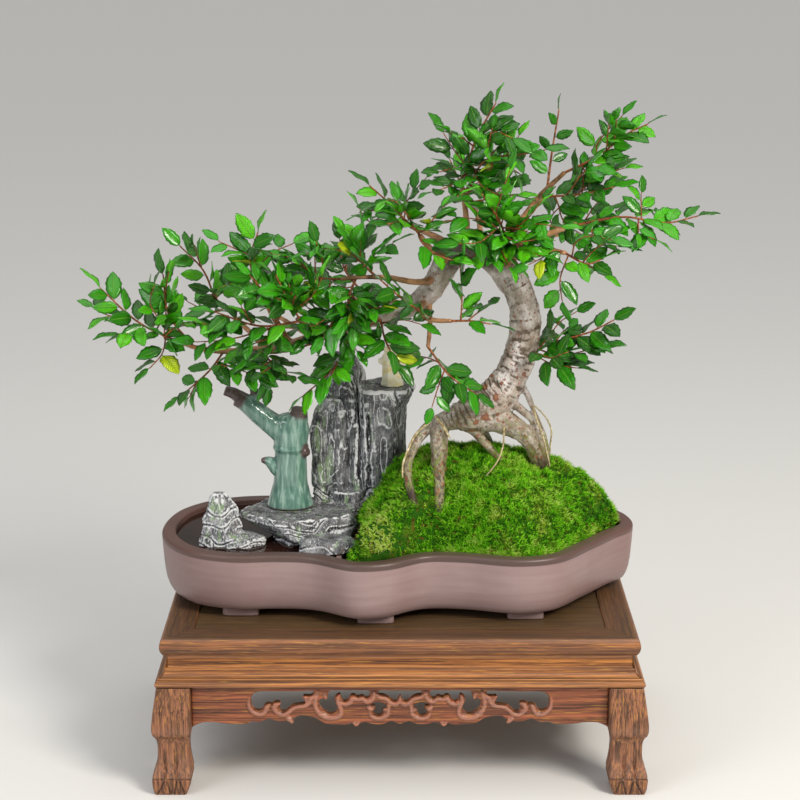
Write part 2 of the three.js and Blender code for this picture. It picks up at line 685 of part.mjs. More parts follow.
const LIMBS = {
  leader: {
    route: [[66, 150, 10], [67, 172, 14], [64, 200, 18], [62, 215, 20]],
    radii: [5, 3, 2.6, 2.4],
  },
  right: {
    route: [[92, 140, 8], [124, 158, 0], [154, 168, -5], [177, 176, -8]],
    radii: [6, 4, 3.2, 2.6],
  },
  right_high: {
    route: [[88, 144, 10], [118, 176, 25], [142, 206, 30], [165, 228, 25]],
    radii: [6, 4, 3, 2.4],
  },
  right_low: {
    route: [[98, 134, 5], [128, 148, -24], [148, 150, -38], [166, 147, -45]],
    radii: [5, 3.4, 2.8, 2.4],
  },
  left_high: {
    route: [[60, 148, 12], [34, 164, 38], [10, 174, 58]],
    radii: [5, 3.4, 2.4],
  },
  front_high: {
    route: [[48, 138, 5], [32, 150, -24], [20, 165, -45]],
    radii: [5, 3.2, 2.4],
  },
  long_level: {
    route: [[36, 120, 5], [14, 118, -20], [-8, 122, -35], [-34, 123, -38], [-60, 121, -36]],
    radii: [4.5, 3.2, 2.8, 2.4, 2.2],
  },
  inner: {
    route: [[26, 104, 6], [20, 86, -20], [33, 80, -38], [52, 79, -45]],
    radii: [4, 2.8, 2.6, 2.2],
  },
  back_left: {
    route: [[8, 92, 6], [-16, 101, 34], [-40, 110, 58]],
    radii: [4.5, 3.2, 2.4],
  },
  tail: {
    route: [[-14, 86, 3], [-30, 76, -9], [-46, 66, -13]],
    radii: [3.6, 2.8, 2.2],
  },
  drop: {
    route: [[28, 106, 6], [30, 78, -8], [28, 52, -18]],
    radii: [3.6, 2.6, 2.2],
  },
  far_left: {
    route: [[-150, 49, -2], [-180, 49, -10], [-206, 53, -15], [-226, 60, -20]],
    radii: [4, 3, 2.6, 2.2],
  },
  left_rise: {
    route: [[-132, 51, -1], [-152, 70, 14], [-166, 84, 26]],
    radii: [4, 2.8, 2.2],
  },
  left_peak: {
    route: [[-110, 56, 0], [-128, 86, -12], [-143, 114, -18]],
    radii: [4, 3, 2.2],
  },
  top_back: {
    route: [[76, 148, 12], [80, 172, 50], [76, 190, 82]],
    radii: [5, 3.4, 2.4],
  },
  right_back: {
    route: [[100, 136, 12], [130, 158, 48], [160, 166, 76]],
    radii: [5, 3.4, 2.4],
  },
  left_back: {
    route: [[-86, 63, 1], [-106, 74, 34], [-124, 85, 62]],
    radii: [4, 2.8, 2.2],
  },
  left_front: {
    route: [[-76, 67, 0], [-88, 74, -32], [-100, 80, -58]],
    radii: [4, 2.8, 2.2],
  },
};

const placed = (route) => route.map(([u, v, y]) => at(u, v, y));

// Plain holes in the moss and the soil that the roots stand in: where each starts above the moss, its
// radius and the root whose end it stops under. The three roots on the right share one.
const ROOT_HOLES = [
  { from: [39.3, -52, -22], under: "front", radius: 12.5 },
  { from: [9.5, -86, -51], under: "left", radius: 9 },
  { from: [138, -44, -5], under: "body", radius: 17 },
  { from: [86, -44, -8], under: "middle", radius: 8 },
  { from: [84, -36, 24], under: "back", radius: 8 },
];

function rootHoles() {
  return ROOT_HOLES.map(({ from, under, radius }) => {
    const start = at(...from);
    const end = at(...ROOTS[under].route.at(-1));
    const bottom = end.clone().sub(start).setLength(FIT * 1.5).add(end);
    return tube([start, bottom], [radius, radius], 6, { steps: 1 });
  });
}

// Bark swellings: slow lumps round and along the trunk.
const barkWobble = (size) => (share, angle) =>
  size * (Math.sin(3 * angle + 23 * share) + 0.7 * Math.sin(2 * angle - 41 * share));

function treeSolid(grow = 0) {
  const trunk = tube(placed(TRUNK.route), TRUNK.radii, 9, { steps: 20, grow, wobble: barkWobble(0.5) });
  const roots = Object.values(ROOTS).map(({ route, radii }) =>
    tube(placed(route), radii, radii[1] > 6 ? 7 : 4, { steps: route.length - 1, grow }),
  );
  const limbs = Object.values(LIMBS).map(({ route, radii }) =>
    tube(placed(route), radii, 4, { steps: route.length - 1, grow }),
  );
  return joined([trunk, ...roots, ...limbs]);
}

// Foliage: each spray is a twig with side shoots, its leaves in two ranks. A shoot is a route of [u, v, y]
// with its number of leaves; the first starts in a limb, and each later one at a share of the first one.
const SPRAYS = {
  far_left: [
    { route: [[-224, 59, -19], [-262, 78, -22], [-300, 112, -24]], leaves: 10 },
    { from: 0.42, route: [[-266, 68, -30], [-280, 66, -36]], leaves: 4 },
    { from: 0.12, route: [[-238, 46, -40], [-250, 32, -52]], leaves: 5 },
  ],
  left_upright: [{ route: [[-206, 53, -15], [-231, 85, -20], [-237, 126, -24]], leaves: 9 }],
  left_tall: [
    { route: [[-165, 83, 25], [-183, 100, 22], [-197, 130, 18], [-220, 154, 18]], leaves: 9 },
    { from: 0.15, route: [[-190, 88, 48], [-212, 98, 62]], leaves: 5 },
  ],
  left_hanging: [
    { route: [[-176, 49, -9], [-190, 30, -20], [-220, 3, -26]], leaves: 6 },
    { from: 0.2, route: [[-160, 30, -28], [-142, 24, -36]], leaves: 5 },
  ],
  left_front: [{ route: [[-98, 79, -55], [-140, 74, -62], [-185, 88, -66]], leaves: 8 }],
  left_peak: [
    { route: [[-142, 112, -18], [-150, 140, -20], [-142, 168, -18]], leaves: 8 },
    { from: 0.3, route: [[-126, 148, -8], [-108, 156, 0]], leaves: 4 },
  ],
  left_back: [
    { route: [[-123, 84, 60], [-140, 110, 72], [-150, 140, 76]], leaves: 7 },
    { from: 0.2, route: [[-100, 92, 84], [-82, 106, 96]], leaves: 5 },
  ],
  left_under: [{ route: [[-140, 50, -2], [-118, 28, -28], [-104, 22, -36]], leaves: 7 }],
  left_inner: [{ route: [[-99, 79, -57], [-112, 100, -68], [-124, 124, -72]], leaves: 7 }],
  mid_long: [
    { route: [[-59, 121, -36], [-90, 121, -38], [-114, 121, -38]], leaves: 7 },
    { from: 0.35, route: [[-78, 142, -46], [-84, 158, -50]], leaves: 4 },
  ],
  mid_up: [{ route: [[-24, 123, -38], [-42, 142, -44], [-56, 166, -48]], leaves: 8 }],
  mid_hang: [{ route: [[-44, 122, -38], [-52, 98, -52], [-48, 74, -60]], leaves: 7 }],
  mid_low: [{ route: [[-60, 72, 1], [-72, 84, -24], [-92, 92, -34]], leaves: 7 }],
  mid_tail: [{ route: [[-45, 66, -13], [-68, 30, -26], [-97, 4, -32]], leaves: 8 }],
  mid_under: [{ route: [[-20, 83, -3], [-14, 58, -28], [-2, 36, -36]], leaves: 8 }],
  inner_tail: [{ route: [[28, 53, -18], [50, 24, -24], [76, 6, -28]], leaves: 9 }],
  inner_side: [
    { route: [[51, 79, -45], [72, 79, -48], [90, 76, -50]], leaves: 4 },
    { from: 0.25, route: [[62, 104, -54], [60, 136, -56]], leaves: 6 },
  ],
  young_shoot: [{ route: [[31, 81, -37], [0, 103, -58], [-28, 128, -66]], leaves: 8, size: 1.2 }],
  back_up: [{ route: [[11, 173, 57], [-8, 194, 56], [-30, 214, 54]], leaves: 6 }],
  mid_back: [{ route: [[-39, 109, 57], [-56, 132, 72], [-60, 160, 80]], leaves: 7 }],
  front_top: [{ route: [[21, 164, -44], [6, 178, -62], [-12, 176, -74]], leaves: 8 }],
  leader: [
    { route: [[62, 213, 20], [76, 261, 20], [96, 297, 18]], leaves: 11 },
    { from: 0.22, route: [[54, 250, 28], [44, 266, 30]], leaves: 5 },
  ],
  top_cross: [{ route: [[64, 196, 17], [84, 238, 4], [124, 246, -4], [145, 250, -6]], leaves: 9 }],
  top_fine: [{ route: [[147, 210, 30], [152, 248, 36], [159, 290, 38]], leaves: 6, size: 0.7 }],
  right_high: [{ route: [[164, 227, 25], [200, 245, 22], [225, 265, 16], [248, 276, 12]], leaves: 11 }],
  right_mid: [{ route: [[140, 203, 30], [182, 206, 14], [214, 213, 2]], leaves: 8 }],
  right_far: [
    { route: [[176, 175, -8], [224, 183, -14], [266, 177, -16], [298, 184, -16]], leaves: 12 },
    { from: 0.55, route: [[246, 165, -26], [254, 161, -30]], leaves: 3 },
    { from: 0.12, route: [[196, 158, -30], [216, 154, -38]], leaves: 5 },
  ],
  right_low: [
    { route: [[165, 147, -44], [187, 136, -50], [200, 140, -54]], leaves: 5 },
    { from: 0.1, route: [[160, 120, -58], [162, 100, -60]], leaves: 5 },
  ],
  top_front: [
    { route: [[108, 149, 4], [100, 178, -34], [82, 206, -52]], leaves: 9 },
    { from: 0.3, route: [[130, 184, -46], [142, 200, -54]], leaves: 6 },
  ],
  top_back: [
    { route: [[76, 188, 79], [62, 214, 92], [50, 240, 94]], leaves: 7 },
    { from: 0.15, route: [[98, 208, 84], [116, 236, 80]], leaves: 6 },
  ],
  right_back: [{ route: [[158, 165, 74], [186, 180, 84], [210, 190, 84]], leaves: 7 }],
  trunk_shoot: [
    { route: [[124, 40, 7], [150, 56, -2], [190, 68, -8], [214, 80, -12]], leaves: 11 },
    { from: 0.12, route: [[152, 36, -16], [176, 32, -24]], leaves: 6 },
  ],
};

// A pointed leaf, cupped a little and drooping to its tip, at a place on its twig. Its upper side has six
// corners and its underside four, so that it takes few faces.
const LEAF_OUTLINE = [[0, 0], [0.34, 0.48], [0.7, 0.44], [1, 0], [0.7, -0.44], [0.34, -0.48]];
const LEAF_UNDERSIDE = [[0, 0], [0.52, 0.47], [1, 0], [0.52, -0.47]];
const LEAF_FACES = [
  [0, 5, 1], [1, 5, 4], [1, 4, 2], [2, 4, 3],
  [6, 7, 9], [7, 8, 9],
  [0, 1, 7], [0, 7, 6], [1, 2, 7], [2, 3, 8], [2, 8, 7],
  [3, 4, 9], [3, 9, 8], [4, 5, 9], [5, 0, 6], [5, 6, 9],
];

function leafSolid({ place, along, normal, length }, grow = 0) {
  const side = new THREE.Vector3().crossVectors(normal, along);
  const width = length * LEAF_WIDTH_SHARE + 2 * grow;
  const corner = (lift) => ([share, across]) => {
    const rise = 0.22 * Math.abs(across) * width - 0.1 * length * share * share;
    return place
      .clone()
      .addScaledVector(along, share * (length + grow))
      .addScaledVector(side, across * width)
      .addScaledVector(normal, rise + lift);
  };
  const half = LEAF_THICKNESS / 2 + grow;
  const corners = [...LEAF_OUTLINE.map(corner(half)), ...LEAF_UNDERSIDE.map(corner(-half))];
  const geometry = new THREE.BufferGeometry();
  geometry.setAttribute("position", new THREE.Float32BufferAttribute(corners.flatMap((p) => p.toArray()), 3));
  geometry.setIndex(LEAF_FACES.flat());
  return solidOf(geometry);
}

// The places of a shoot's leaves: in two ranks along the shoot and one at its tip, by seeded draws.
function leafPlaces(curve, shoot, draw) {
  const places = [];
  const roll = (draw() - 0.5) * 1.2;
  for (let i = 0; i < shoot.leaves; i++) {
    const last = i === shoot.leaves - 1;
    const share = last ? 0.985 : 0.2 + (0.76 * i) / (shoot.leaves - 1);
    const tangent = curve.getTangentAt(share);
    const up = new THREE.Vector3(draw() * 0.8 - 0.4, -0.5 + draw() * 0.5, 0.7 + draw() * 0.3);
    const side = new THREE.Vector3().crossVectors(tangent, up).normalize();
    const normal = new THREE.Vector3().crossVectors(side, tangent).applyAxisAngle(tangent, roll);
    side.applyAxisAngle(tangent, roll);
    const spread = last ? (draw() - 0.5) * 0.4 : (i % 2 ? 1 : -1) * (0.7 + draw() * 0.45);
    const along = tangent.clone().multiplyScalar(Math.cos(spread)).addScaledVector(side, Math.sin(spread));
    along.addScaledVector(normal, 0.35 * (draw() - 0.4)).normalize();
    const flat = normal.addScaledVector(along, -normal.dot(along)).normalize();
    const tilted = flat.applyAxisAngle(along, (draw() - 0.5) * 0.9);
    const length = LEAF_LENGTH * (shoot.size ?? 1) * (0.82 + 0.36 * draw()) * (last ? 0.85 : 1);
    places.push({ place: curve.getPointAt(share), along, normal: tilted, length });
  }
  return places;
}

const curveOf = (points) => new THREE.CatmullRomCurve3(points, false, "centripetal");

// The twig along a curve, from the first place where it stands clear of the limb that it grows from.
function twigSolid(curve, radius, limb) {
  const step = 0.4 / curve.getLength();
  for (let start = 0; start < 0.6; start += step) {
    const points = [0, 1 / 3, 2 / 3, 1].map((share) => curve.getPointAt(start + (1 - start) * share));
    const twig = tube(points, [radius, TWIG_TIP_RADIUS], 3, { steps: 3 });
    if (!limb || twig.intersect(limb).volume() === 0) return twig;
  }
  throw new Error("a twig runs inside its limb");
}

// Works out one spray: its twigs as a solid and its leaves' places. The side shoots start in the main one.
function layOutSpray(shoots, seed, limb) {
  const draw = draws(seed);
  const main = curveOf(placed(shoots[0].route));
  const twigs = [];
  const leaves = [];
  for (const shoot of shoots) {
    const isMain = shoot === shoots[0];
    const curve = isMain ? main : curveOf([main.getPointAt(shoot.from), ...placed(shoot.route)]);
    twigs.push(isMain ? twigSolid(curve, TWIG_RADIUS, limb) : twigSolid(curve, TWIG_TIP_RADIUS));
    leaves.push(...leafPlaces(curve, shoot, draw));
  }
  return { twigs: joined(twigs), leaves };
}

const boxesMeet = (a, b) => [0, 1, 2].every((k) => a.min[k] <= b.max[k] && b.min[k] <= a.max[k]);

function crosses(solid, others) {
  const box = solid.boundingBox();
  return others.some((other) => boxesMeet(box, other.boundingBox()) && solid.intersect(other).volume() > 0);
}

// Every leaf that would cross the tree, a stone or another leaf is left off its twig.
function addFoliage(tree, stones) {
  const keepClear = treeSolid(FIT);
  const sprays = Object.entries(SPRAYS).map(([name, shoots], i) => {
    const { twigs, leaves } = layOutSpray(shoots, 101 + 37 * i, keepClear);
    return { name, twigs, leaves, grown: [] };
  });
  const taken = [];
  for (const spray of sprays) {
    const hard = [tree, ...stones, ...sprays.filter((s) => s !== spray).map((s) => s.twigs)];
    for (const leaf of spray.leaves) {
      const wide = leafSolid(leaf, FIT);
      if (crosses(wide, hard) || crosses(wide, taken)) continue;
      const solid = leafSolid(leaf);
      taken.push(solid);
      spray.grown.push(solid);
    }
    addMesh(`spray_${spray.name}`, largestBody(joined([spray.twigs, ...spray.grown])), leafGreen);
  }
}

// The whole

function addStand() {
  addTopFrame();
  addWaist();
  addAprons();
  addLegs();
}

function addPlanting() {
  const tree = treeSolid();
  const rockery = rockerySolid();
  const holes = joined(rootHoles());
  const cut = (solid, cutter) => largestBody(solid.subtract(holes).subtract(cutter));
  addMesh("tray", traySolid(), clay);
  addMesh("soil", cut(soilSolid(), rockerySeat()), soilEarth);
  addMesh("moss", cut(mossSolid(), rockeryBay()), mossGreen);
  addMesh("rockery", rockery, stone);
  addMesh("rock_peak", peakSolid(), stone);
  addMesh("rock_slab", slabSolid().subtract(rockerySolid(FIT)), stone);
  addMesh("water", waterSolid([rockerySolid(FIT), peakSolid(FIT), slabSolid(FIT)]), poolWater);
  const stump = stumpSolid();
  addMesh("glazed_stump", stump, celadon);
  const pagoda = solidOf(pagodaGeometry());
  addMesh("pagoda", pagoda, ivoryGlaze);
  addMesh("elm_tree", tree, bark);
  addFoliage(tree, [rockery, stump, pagoda]);
}

addStand();
addPlanting();

export default root;
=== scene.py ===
"""A Chinese elm bonsai on stilt roots, in a lobed clay tray with a pool, stones and moss, on a carved wooden stand.

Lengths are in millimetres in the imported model's own frame, +Z up, and become metres where a mesh is made.
"""

import bpy
import numpy as np
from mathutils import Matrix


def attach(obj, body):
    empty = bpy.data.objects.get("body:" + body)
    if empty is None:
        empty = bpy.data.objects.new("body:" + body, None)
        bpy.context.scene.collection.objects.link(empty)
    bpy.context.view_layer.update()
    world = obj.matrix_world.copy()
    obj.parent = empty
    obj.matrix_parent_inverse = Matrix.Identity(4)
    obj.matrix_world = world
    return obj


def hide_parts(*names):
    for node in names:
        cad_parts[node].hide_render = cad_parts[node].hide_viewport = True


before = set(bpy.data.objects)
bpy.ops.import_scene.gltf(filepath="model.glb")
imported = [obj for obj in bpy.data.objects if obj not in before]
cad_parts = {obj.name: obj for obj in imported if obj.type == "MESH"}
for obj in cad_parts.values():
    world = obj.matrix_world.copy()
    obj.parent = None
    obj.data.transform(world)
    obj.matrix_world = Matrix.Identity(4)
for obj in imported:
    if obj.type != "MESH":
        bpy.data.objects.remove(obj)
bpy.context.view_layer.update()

MM = 0.001  # metres in a millimetre
TAU = 2 * np.pi


# The view: the object is seen from the front by an eye on this sight line.
AIM = np.array([0.0, 0.0, 360.0])
EYE_DISTANCE = 2000.0
EYE_TILT = np.radians(14.6)
SIGHT = np.array([0.0, np.cos(EYE_TILT), -np.sin(EYE_TILT)])
SHEET_UP = np.array([0.0, np.sin(EYE_TILT), np.cos(EYE_TILT)])
EYE = AIM - SIGHT * EYE_DISTANCE


def at(route):
    """Places given as rows [u, v, y]: u right and v up on a sheet through AIM, followed along the line of sight to the
    depth y."""
    route = np.asarray(route, float)
    ray = EYE_DISTANCE * SIGHT + route[:, :1] * np.array([1.0, 0.0, 0.0]) + route[:, 1:2] * SHEET_UP
    return EYE + ray * ((route[:, 2] - EYE[1]) / ray[:, 1])[:, None]


# Curves and noise

NUDGE = 0.0001  # the step in a spline's parameter that its direction is measured over


def curve_place(points, t, closed=False):
    """Places on a centripetal Catmull-Rom spline, flat or in space: each span is a cubic whose end slopes come from the
    knots round it."""
    points = np.asarray(points, float)
    count = len(points)
    spans = count if closed else count - 1
    along = np.clip(np.asarray(t, float), 0, 1) * spans
    span = np.minimum(np.floor(along).astype(int), spans - 1)
    rest = (along - span)[:, None]
    if closed:
        knots = [points[(span + k) % count] for k in (-1, 0, 1, 2)]
    else:
        padded = np.vstack([2 * points[0] - points[1], points, 2 * points[-1] - points[-2]])
        knots = [padded[span + k] for k in range(4)]
    p0, p1, p2, p3 = knots
    d0, d1, d2 = (np.sqrt(np.linalg.norm(b - a, axis=1))[:, None] for a, b in ((p0, p1), (p1, p2), (p2, p3)))
    slope1 = ((p1 - p0) / d0 - (p2 - p0) / (d0 + d1) + (p2 - p1) / d1) * d1
    slope2 = ((p2 - p1) / d1 - (p3 - p1) / (d1 + d2) + (p3 - p2) / d2) * d1
    cubic = 2 * p1 - 2 * p2 + slope1 + slope2
    square = -3 * p1 + 3 * p2 - 2 * slope1 - slope2
    return p1 + slope1 * rest + square * rest**2 + cubic * rest**3


def even_shares(points, shares, divisions=200):
    """The spline's own parameter at shares of its length, read off a table of chord lengths."""
    table = np.linspace(0, 1, divisions + 1)
    steps = np.linalg.norm(np.diff(curve_place(points, table), axis=0), axis=1)
    lengths = np.concatenate([[0], np.cumsum(steps)])
    return np.interp(np.asarray(shares) * lengths[-1], lengths, table)


def place_and_heading(points, shares):
    """Places at shares of the spline's length, with its unit direction there."""
    t = even_shares(points, shares)
    heading = curve_place(points, np.minimum(t + NUDGE, 1)) - curve_place(points, np.maximum(t - NUDGE, 0))
    return curve_place(points, t), heading / np.linalg.norm(heading, axis=1)[:, None]


# Large odd numbers that scatter whole numbers over 32 bits: for each axis, for the seed and to mix them.
AXIS_FACTORS = np.array([374761393, 668265263, 2246822519], np.uint32)
SEED_FACTOR = 3266489917
MIX_FACTOR = np.uint32(1274126177)
HALF_RANGE = (2**32 - 1) / 2


def lattice_value(cell, seed):
    """A value from -1 to 1 for each whole-number grid point, by integer mixing."""
    x, y, z = (cell[:, k].astype(np.uint32) * AXIS_FACTORS[k] for k in range(3))
    mixed = x + y + z + np.uint32(seed * SEED_FACTOR % 2**32)
    mixed = (mixed ^ (mixed >> np.uint32(13))) * MIX_FACTOR
    mixed = mixed ^ (mixed >> np.uint32(16))
    return mixed.astype(np.float64) / HALF_RANGE - 1


def noise(points, size, seed=0):
    """Smooth noise from -1 to 1: the eight grid values round a point, blended by a fifth-power ease. The size is in mm,
    for all axes or for each."""
    scaled = points / np.asarray(size, float)
    cell = np.floor(scaled).astype(np.int64)
    part = scaled - cell
    ease = part**3 * (part * (part * 6 - 15) + 10)
    total = np.zeros(len(points))
    for corner in np.ndindex(2, 2, 2):
        corner = np.array(corner)
        weight = np.prod(np.where(corner == 1, ease, 1 - ease), axis=1)
        total += weight * lattice_value(cell + corner, seed)
    return total


def rough(points, size, octaves, seed=0):
    """Noise summed over octaves, each of half the size and half the strength of the one before."""
    size = np.asarray(size, float)
    return sum(noise(points, size / 2**k, seed + k) / 2**k for k in range(octaves))


def draws(seed):
    """A seeded row of draws from 0 to 1: each state is the last one times a factor plus a step, and what is left of
    that after whole turns."""
    factor, step, turn = 1664525, 1013904223, 2**32
    state = seed
    while True:
        state = (state * factor + step) % turn
        yield state / turn


# Meshes

def sheet_faces(rows, columns, wrap=False):
    """Four-cornered faces of a grid of points laid row by row; wrap joins the last column to the first."""
    across = columns if wrap else columns - 1
    row, column = np.meshgrid(np.arange(rows - 1), np.arange(across), indexing="ij")
    a = (row * columns + column).ravel()
    b = (row * columns + (column + 1) % columns).ravel()
    return np.stack([a, b, b + columns, a + columns], axis=1)


def fan_faces(ring, hub, turned=False):
    """Triangles from a hub point to each side of a closed ring of points."""
    after = np.roll(ring, -1)
    hubs = np.full(len(ring), hub)
    return np.stack([hubs, after, ring] if turned else [hubs, ring, after], axis=1)


def part(points, *faces, material=0, **marks):
    """A part of a mesh: its points, its faces as index rows, its material and its marks per point."""
    return {"points": np.asarray(points, float), "faces": faces, "material": material, "marks": marks}


def loft(rings, **more):
    """A closed skin over a stack of rings, counterclockwise seen from the last one, with a fan over each end."""
    rings = np.asarray(rings, float)
    count, around = rings.shape[:2]
    points = np.vstack([rings.reshape(-1, 3), rings[0].mean(axis=0), rings[-1].mean(axis=0)])
    first = np.arange(around)
    last = first + (count - 1) * around
    ends = np.vstack([fan_faces(first, count * around, turned=True), fan_faces(last, count * around + 1)])
    return part(points, sheet_faces(count, around, wrap=True), ends, **more)


def carried_frames(centres):
    """Unit directions along a path, with a pair of cross directions that turn as little as they can."""
    along = np.gradient(centres, axis=0)
    along /= np.linalg.norm(along, axis=1)[:, None]
    start = np.array([0.0, 0.0, 1.0]) if abs(along[0][2]) < 0.9 else np.array([1.0, 0.0, 0.0])
    first = np.empty_like(along)
    for k, direction in enumerate(along):
        start = start - direction * (start @ direction)
        start = start / np.linalg.norm(start)
        first[k] = start
    return along, first, np.cross(along, first)


def tube(route, radii, sides=12, step=2.0, swell=None, **more):
    """A round limb: a circle of changing radius carried along a smooth path; swell adds to the radius by place and
    angle."""
    length = np.linalg.norm(np.diff(curve_place(route, np.linspace(0, 1, 60)), axis=0), axis=1).sum()
    count = max(3, int(length / step) + 1)
    shares = np.linspace(0, 1, count)
    centres = curve_place(route, even_shares(route, shares))
    _, first, second = carried_frames(centres)
    radius = np.interp(shares * (len(radii) - 1), np.arange(len(radii)), radii)[:, None]
    angle = np.arange(sides) / sides * TAU
    if swell is not None:
        radius = radius + swell(shares[:, None], angle[None, :])
    around = first[:, None] * np.cos(angle)[None, :, None] + second[:, None] * np.sin(angle)[None, :, None]
    return loft(centres[:, None] + around * np.broadcast_to(radius, (count, sides))[..., None], **more)


def mesh_of(name, parts):
    """One mesh from parts: points, faces and marks are put end to end, and marks become attributes of the points."""
    offsets = np.cumsum([0] + [len(p["points"]) for p in parts])
    rows = [(f + offsets[k], p["material"]) for k, p in enumerate(parts) for f in p["faces"] if len(f)]
    points = np.vstack([p["points"] for p in parts]) * MM
    corners = np.concatenate([f.ravel() for f, _ in rows])
    sizes = np.concatenate([np.full(len(f), f.shape[1]) for f, _ in rows])
    mesh = bpy.data.meshes.new(name)
    mesh.vertices.add(len(points))
    mesh.vertices.foreach_set("co", points.ravel())
    mesh.loops.add(len(corners))
    mesh.loops.foreach_set("vertex_index", corners.astype(np.int32))
    mesh.polygons.add(len(sizes))
    mesh.polygons.foreach_set("loop_start", (np.cumsum(sizes) - sizes).astype(np.int32))
    mesh.polygons.foreach_set("material_index", np.concatenate([np.full(len(f), m) for f, m in rows]).astype(np.int32))
    mesh.polygons.foreach_set("use_smooth", np.ones(len(sizes), bool))
    for mark in sorted({key for p in parts for key in p["marks"]}):
        values = np.concatenate([np.broadcast_to(p["marks"].get(mark, 0.0), len(p["points"])) for p in parts])
        mesh.attributes.new(mark, "FLOAT", "POINT").data.foreach_set("value", values.astype(np.float32))
    mesh.update(calc_edges=True)
    return mesh


def new_object(name, content):
    """An object in the scene, at the origin, that holds a mesh, a curve, a light or a camera."""
    item = bpy.data.objects.new(name, content)
    bpy.context.scene.collection.objects.link(item)
    return item


def finished_mesh(item):
    """An object's mesh with its modifiers applied; the object itself goes."""
    mesh = bpy.data.meshes.new_from_object(item.evaluated_get(bpy.context.evaluated_depsgraph_get()))
    bpy.data.objects.remove(item)
    return mesh


def add_piece(name, mesh, materials, replaced=(), crease=None):
    """Puts a mesh in the scene as a piece of the object; edges sharper than crease degrees stay sharp."""
    for material in materials:
        mesh.materials.append(material)
    if crease is not None:
        mesh.set_sharp_from_angle(angle=np.radians(crease))
    piece = new_object(name, mesh)
    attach(piece, "root")
    if replaced:
        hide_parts(*replaced)


def read_points(mesh):
    """The mesh's points in millimetres."""
    points = np.empty(len(mesh.vertices) * 3)
    mesh.vertices.foreach_get("co", points)
    return points.reshape(-1, 3) / MM


def read_normals(mesh):
    """The unit normal at each point of the mesh."""
    normals = np.empty(len(mesh.vertices) * 3)
    mesh.vertex_normals.foreach_get("vector", normals)
    return normals.reshape(-1, 3)


def write_points(mesh, points):
    """Moves the mesh's points to places in millimetres."""
    mesh.vertices.foreach_set("co", (points * MM).ravel())
    mesh.update()


def grown_together(name, parts, grain, smoothing=2):
    """The outer skin round parts that run into each other, as one mesh of cells of about the grain, smoothed."""
    work = new_object(name, mesh_of(name, parts))
    remesh = work.modifiers.new("skin", "REMESH")
    remesh.mode = "VOXEL"
    remesh.voxel_size = grain * MM
    relax = work.modifiers.new("relax", "SMOOTH")
    relax.iterations = smoothing
    relax.factor = 0.5
    skin = finished_mesh(work)
    skin.name = name
    skin.polygons.foreach_set("use_smooth", np.ones(len(skin.polygons), bool))
    return skin


def set_mark(mesh, mark, values):
    """Keeps a value per point on the mesh as an attribute, which its material reads."""
    mesh.attributes.new(mark, "FLOAT", "POINT").data.foreach_set("value", np.asarray(values, np.float32))


# Materials

def linear(colour):
    """An sRGB hex colour as linear red, green, blue and alpha."""
    srgb = np.array([int(colour[k:k + 2], 16) for k in (1, 3, 5)]) / 255
    rgb = np.where(srgb <= 0.04045, srgb / 12.92, ((srgb + 0.055) / 1.055) ** 2.4)
    return (*rgb.tolist(), 1.0)


def join(tree, node, sockets):
    """Gives a node's sockets values, or links from sockets or from nodes, each of which stands for its first output in
    use."""
    for key, value in sockets.items():
        if isinstance(value, bpy.types.Node):
            value = next(output for output in value.outputs if output.enabled)
        if isinstance(value, bpy.types.NodeSocket):
            tree.links.new(value, node.inputs[key])
        else:
            node.inputs[key].default_value = value


def add_node(tree, kind, sockets=None, stops=None, **settings):
    """Adds a node: settings by name, colour stops for a ramp, and sockets as values or as links."""
    node = tree.nodes.new("ShaderNode" + kind)
    for name, value in settings.items():
        setattr(node, name, value)
    for place, (position, colour) in enumerate(stops or []):
        marks = node.color_ramp.elements
        mark = marks[place] if place < 2 else marks.new(position)
        mark.position = position
        mark.color = linear(colour)
    join(tree, node, sockets or {})
    return node


def new_material(name, **shader):
    """A material with one Principled shader; shader gives the sockets that are the same all over."""
    material = bpy.data.materials.new(name)
    material.use_nodes = True
    tree = material.node_tree
    principled = tree.nodes["Principled BSDF"]
    join(tree, principled, {key.replace("_", " "): value for key, value in shader.items()})
    return material, tree, principled


def per_mm(size):
    """A texture's scale for a pattern of this size in millimetres, on Object coordinates in metres."""
    return 1 / (size * MM)


def drawn_out_noise(tree, place, sizes, detail, roughness=0.5, unit=MM):
    """Noise whose patches have their own size along each axis of place, in units that are this many of the place's."""
    run = add_node(tree, "Mapping", {"Vector": place, "Scale": [1 / (size * unit) for size in sizes]})
    return add_node(tree, "TexNoise", {"Vector": run, "Scale": 1.0, "Detail": detail, "Roughness": roughness})


def masked(tree, value, rise, times, most=1.0):
    """A share of 0 to most, by how far a value has gone from the first to the second of rise, times a second mask."""
    share = add_node(tree, "MapRange", {"Value": value, "From Min": rise[0], "From Max": rise[1], "To Max": most})
    return add_node(tree, "Math", {0: share, 1: times}, operation="MULTIPLY")


def stained(tree, under, colour, mask, rise=None, most=1.0, times=None):
    """A colour laid over another. Its share is the mask itself or, with rise, how far the mask has gone between the two
    numbers of rise, up to most; times is a second mask to multiply that by."""
    if times is not None:
        share = masked(tree, mask, rise, times, most)
    elif rise is not None:
        share = add_node(tree, "MapRange", {"Value": mask, "From Min": rise[0], "From Max": rise[1], "To Max": most})
    else:
        share = mask
    return add_node(tree, "Mix", {"Factor": share, "A": under, "B": linear(colour)}, data_type="RGBA")


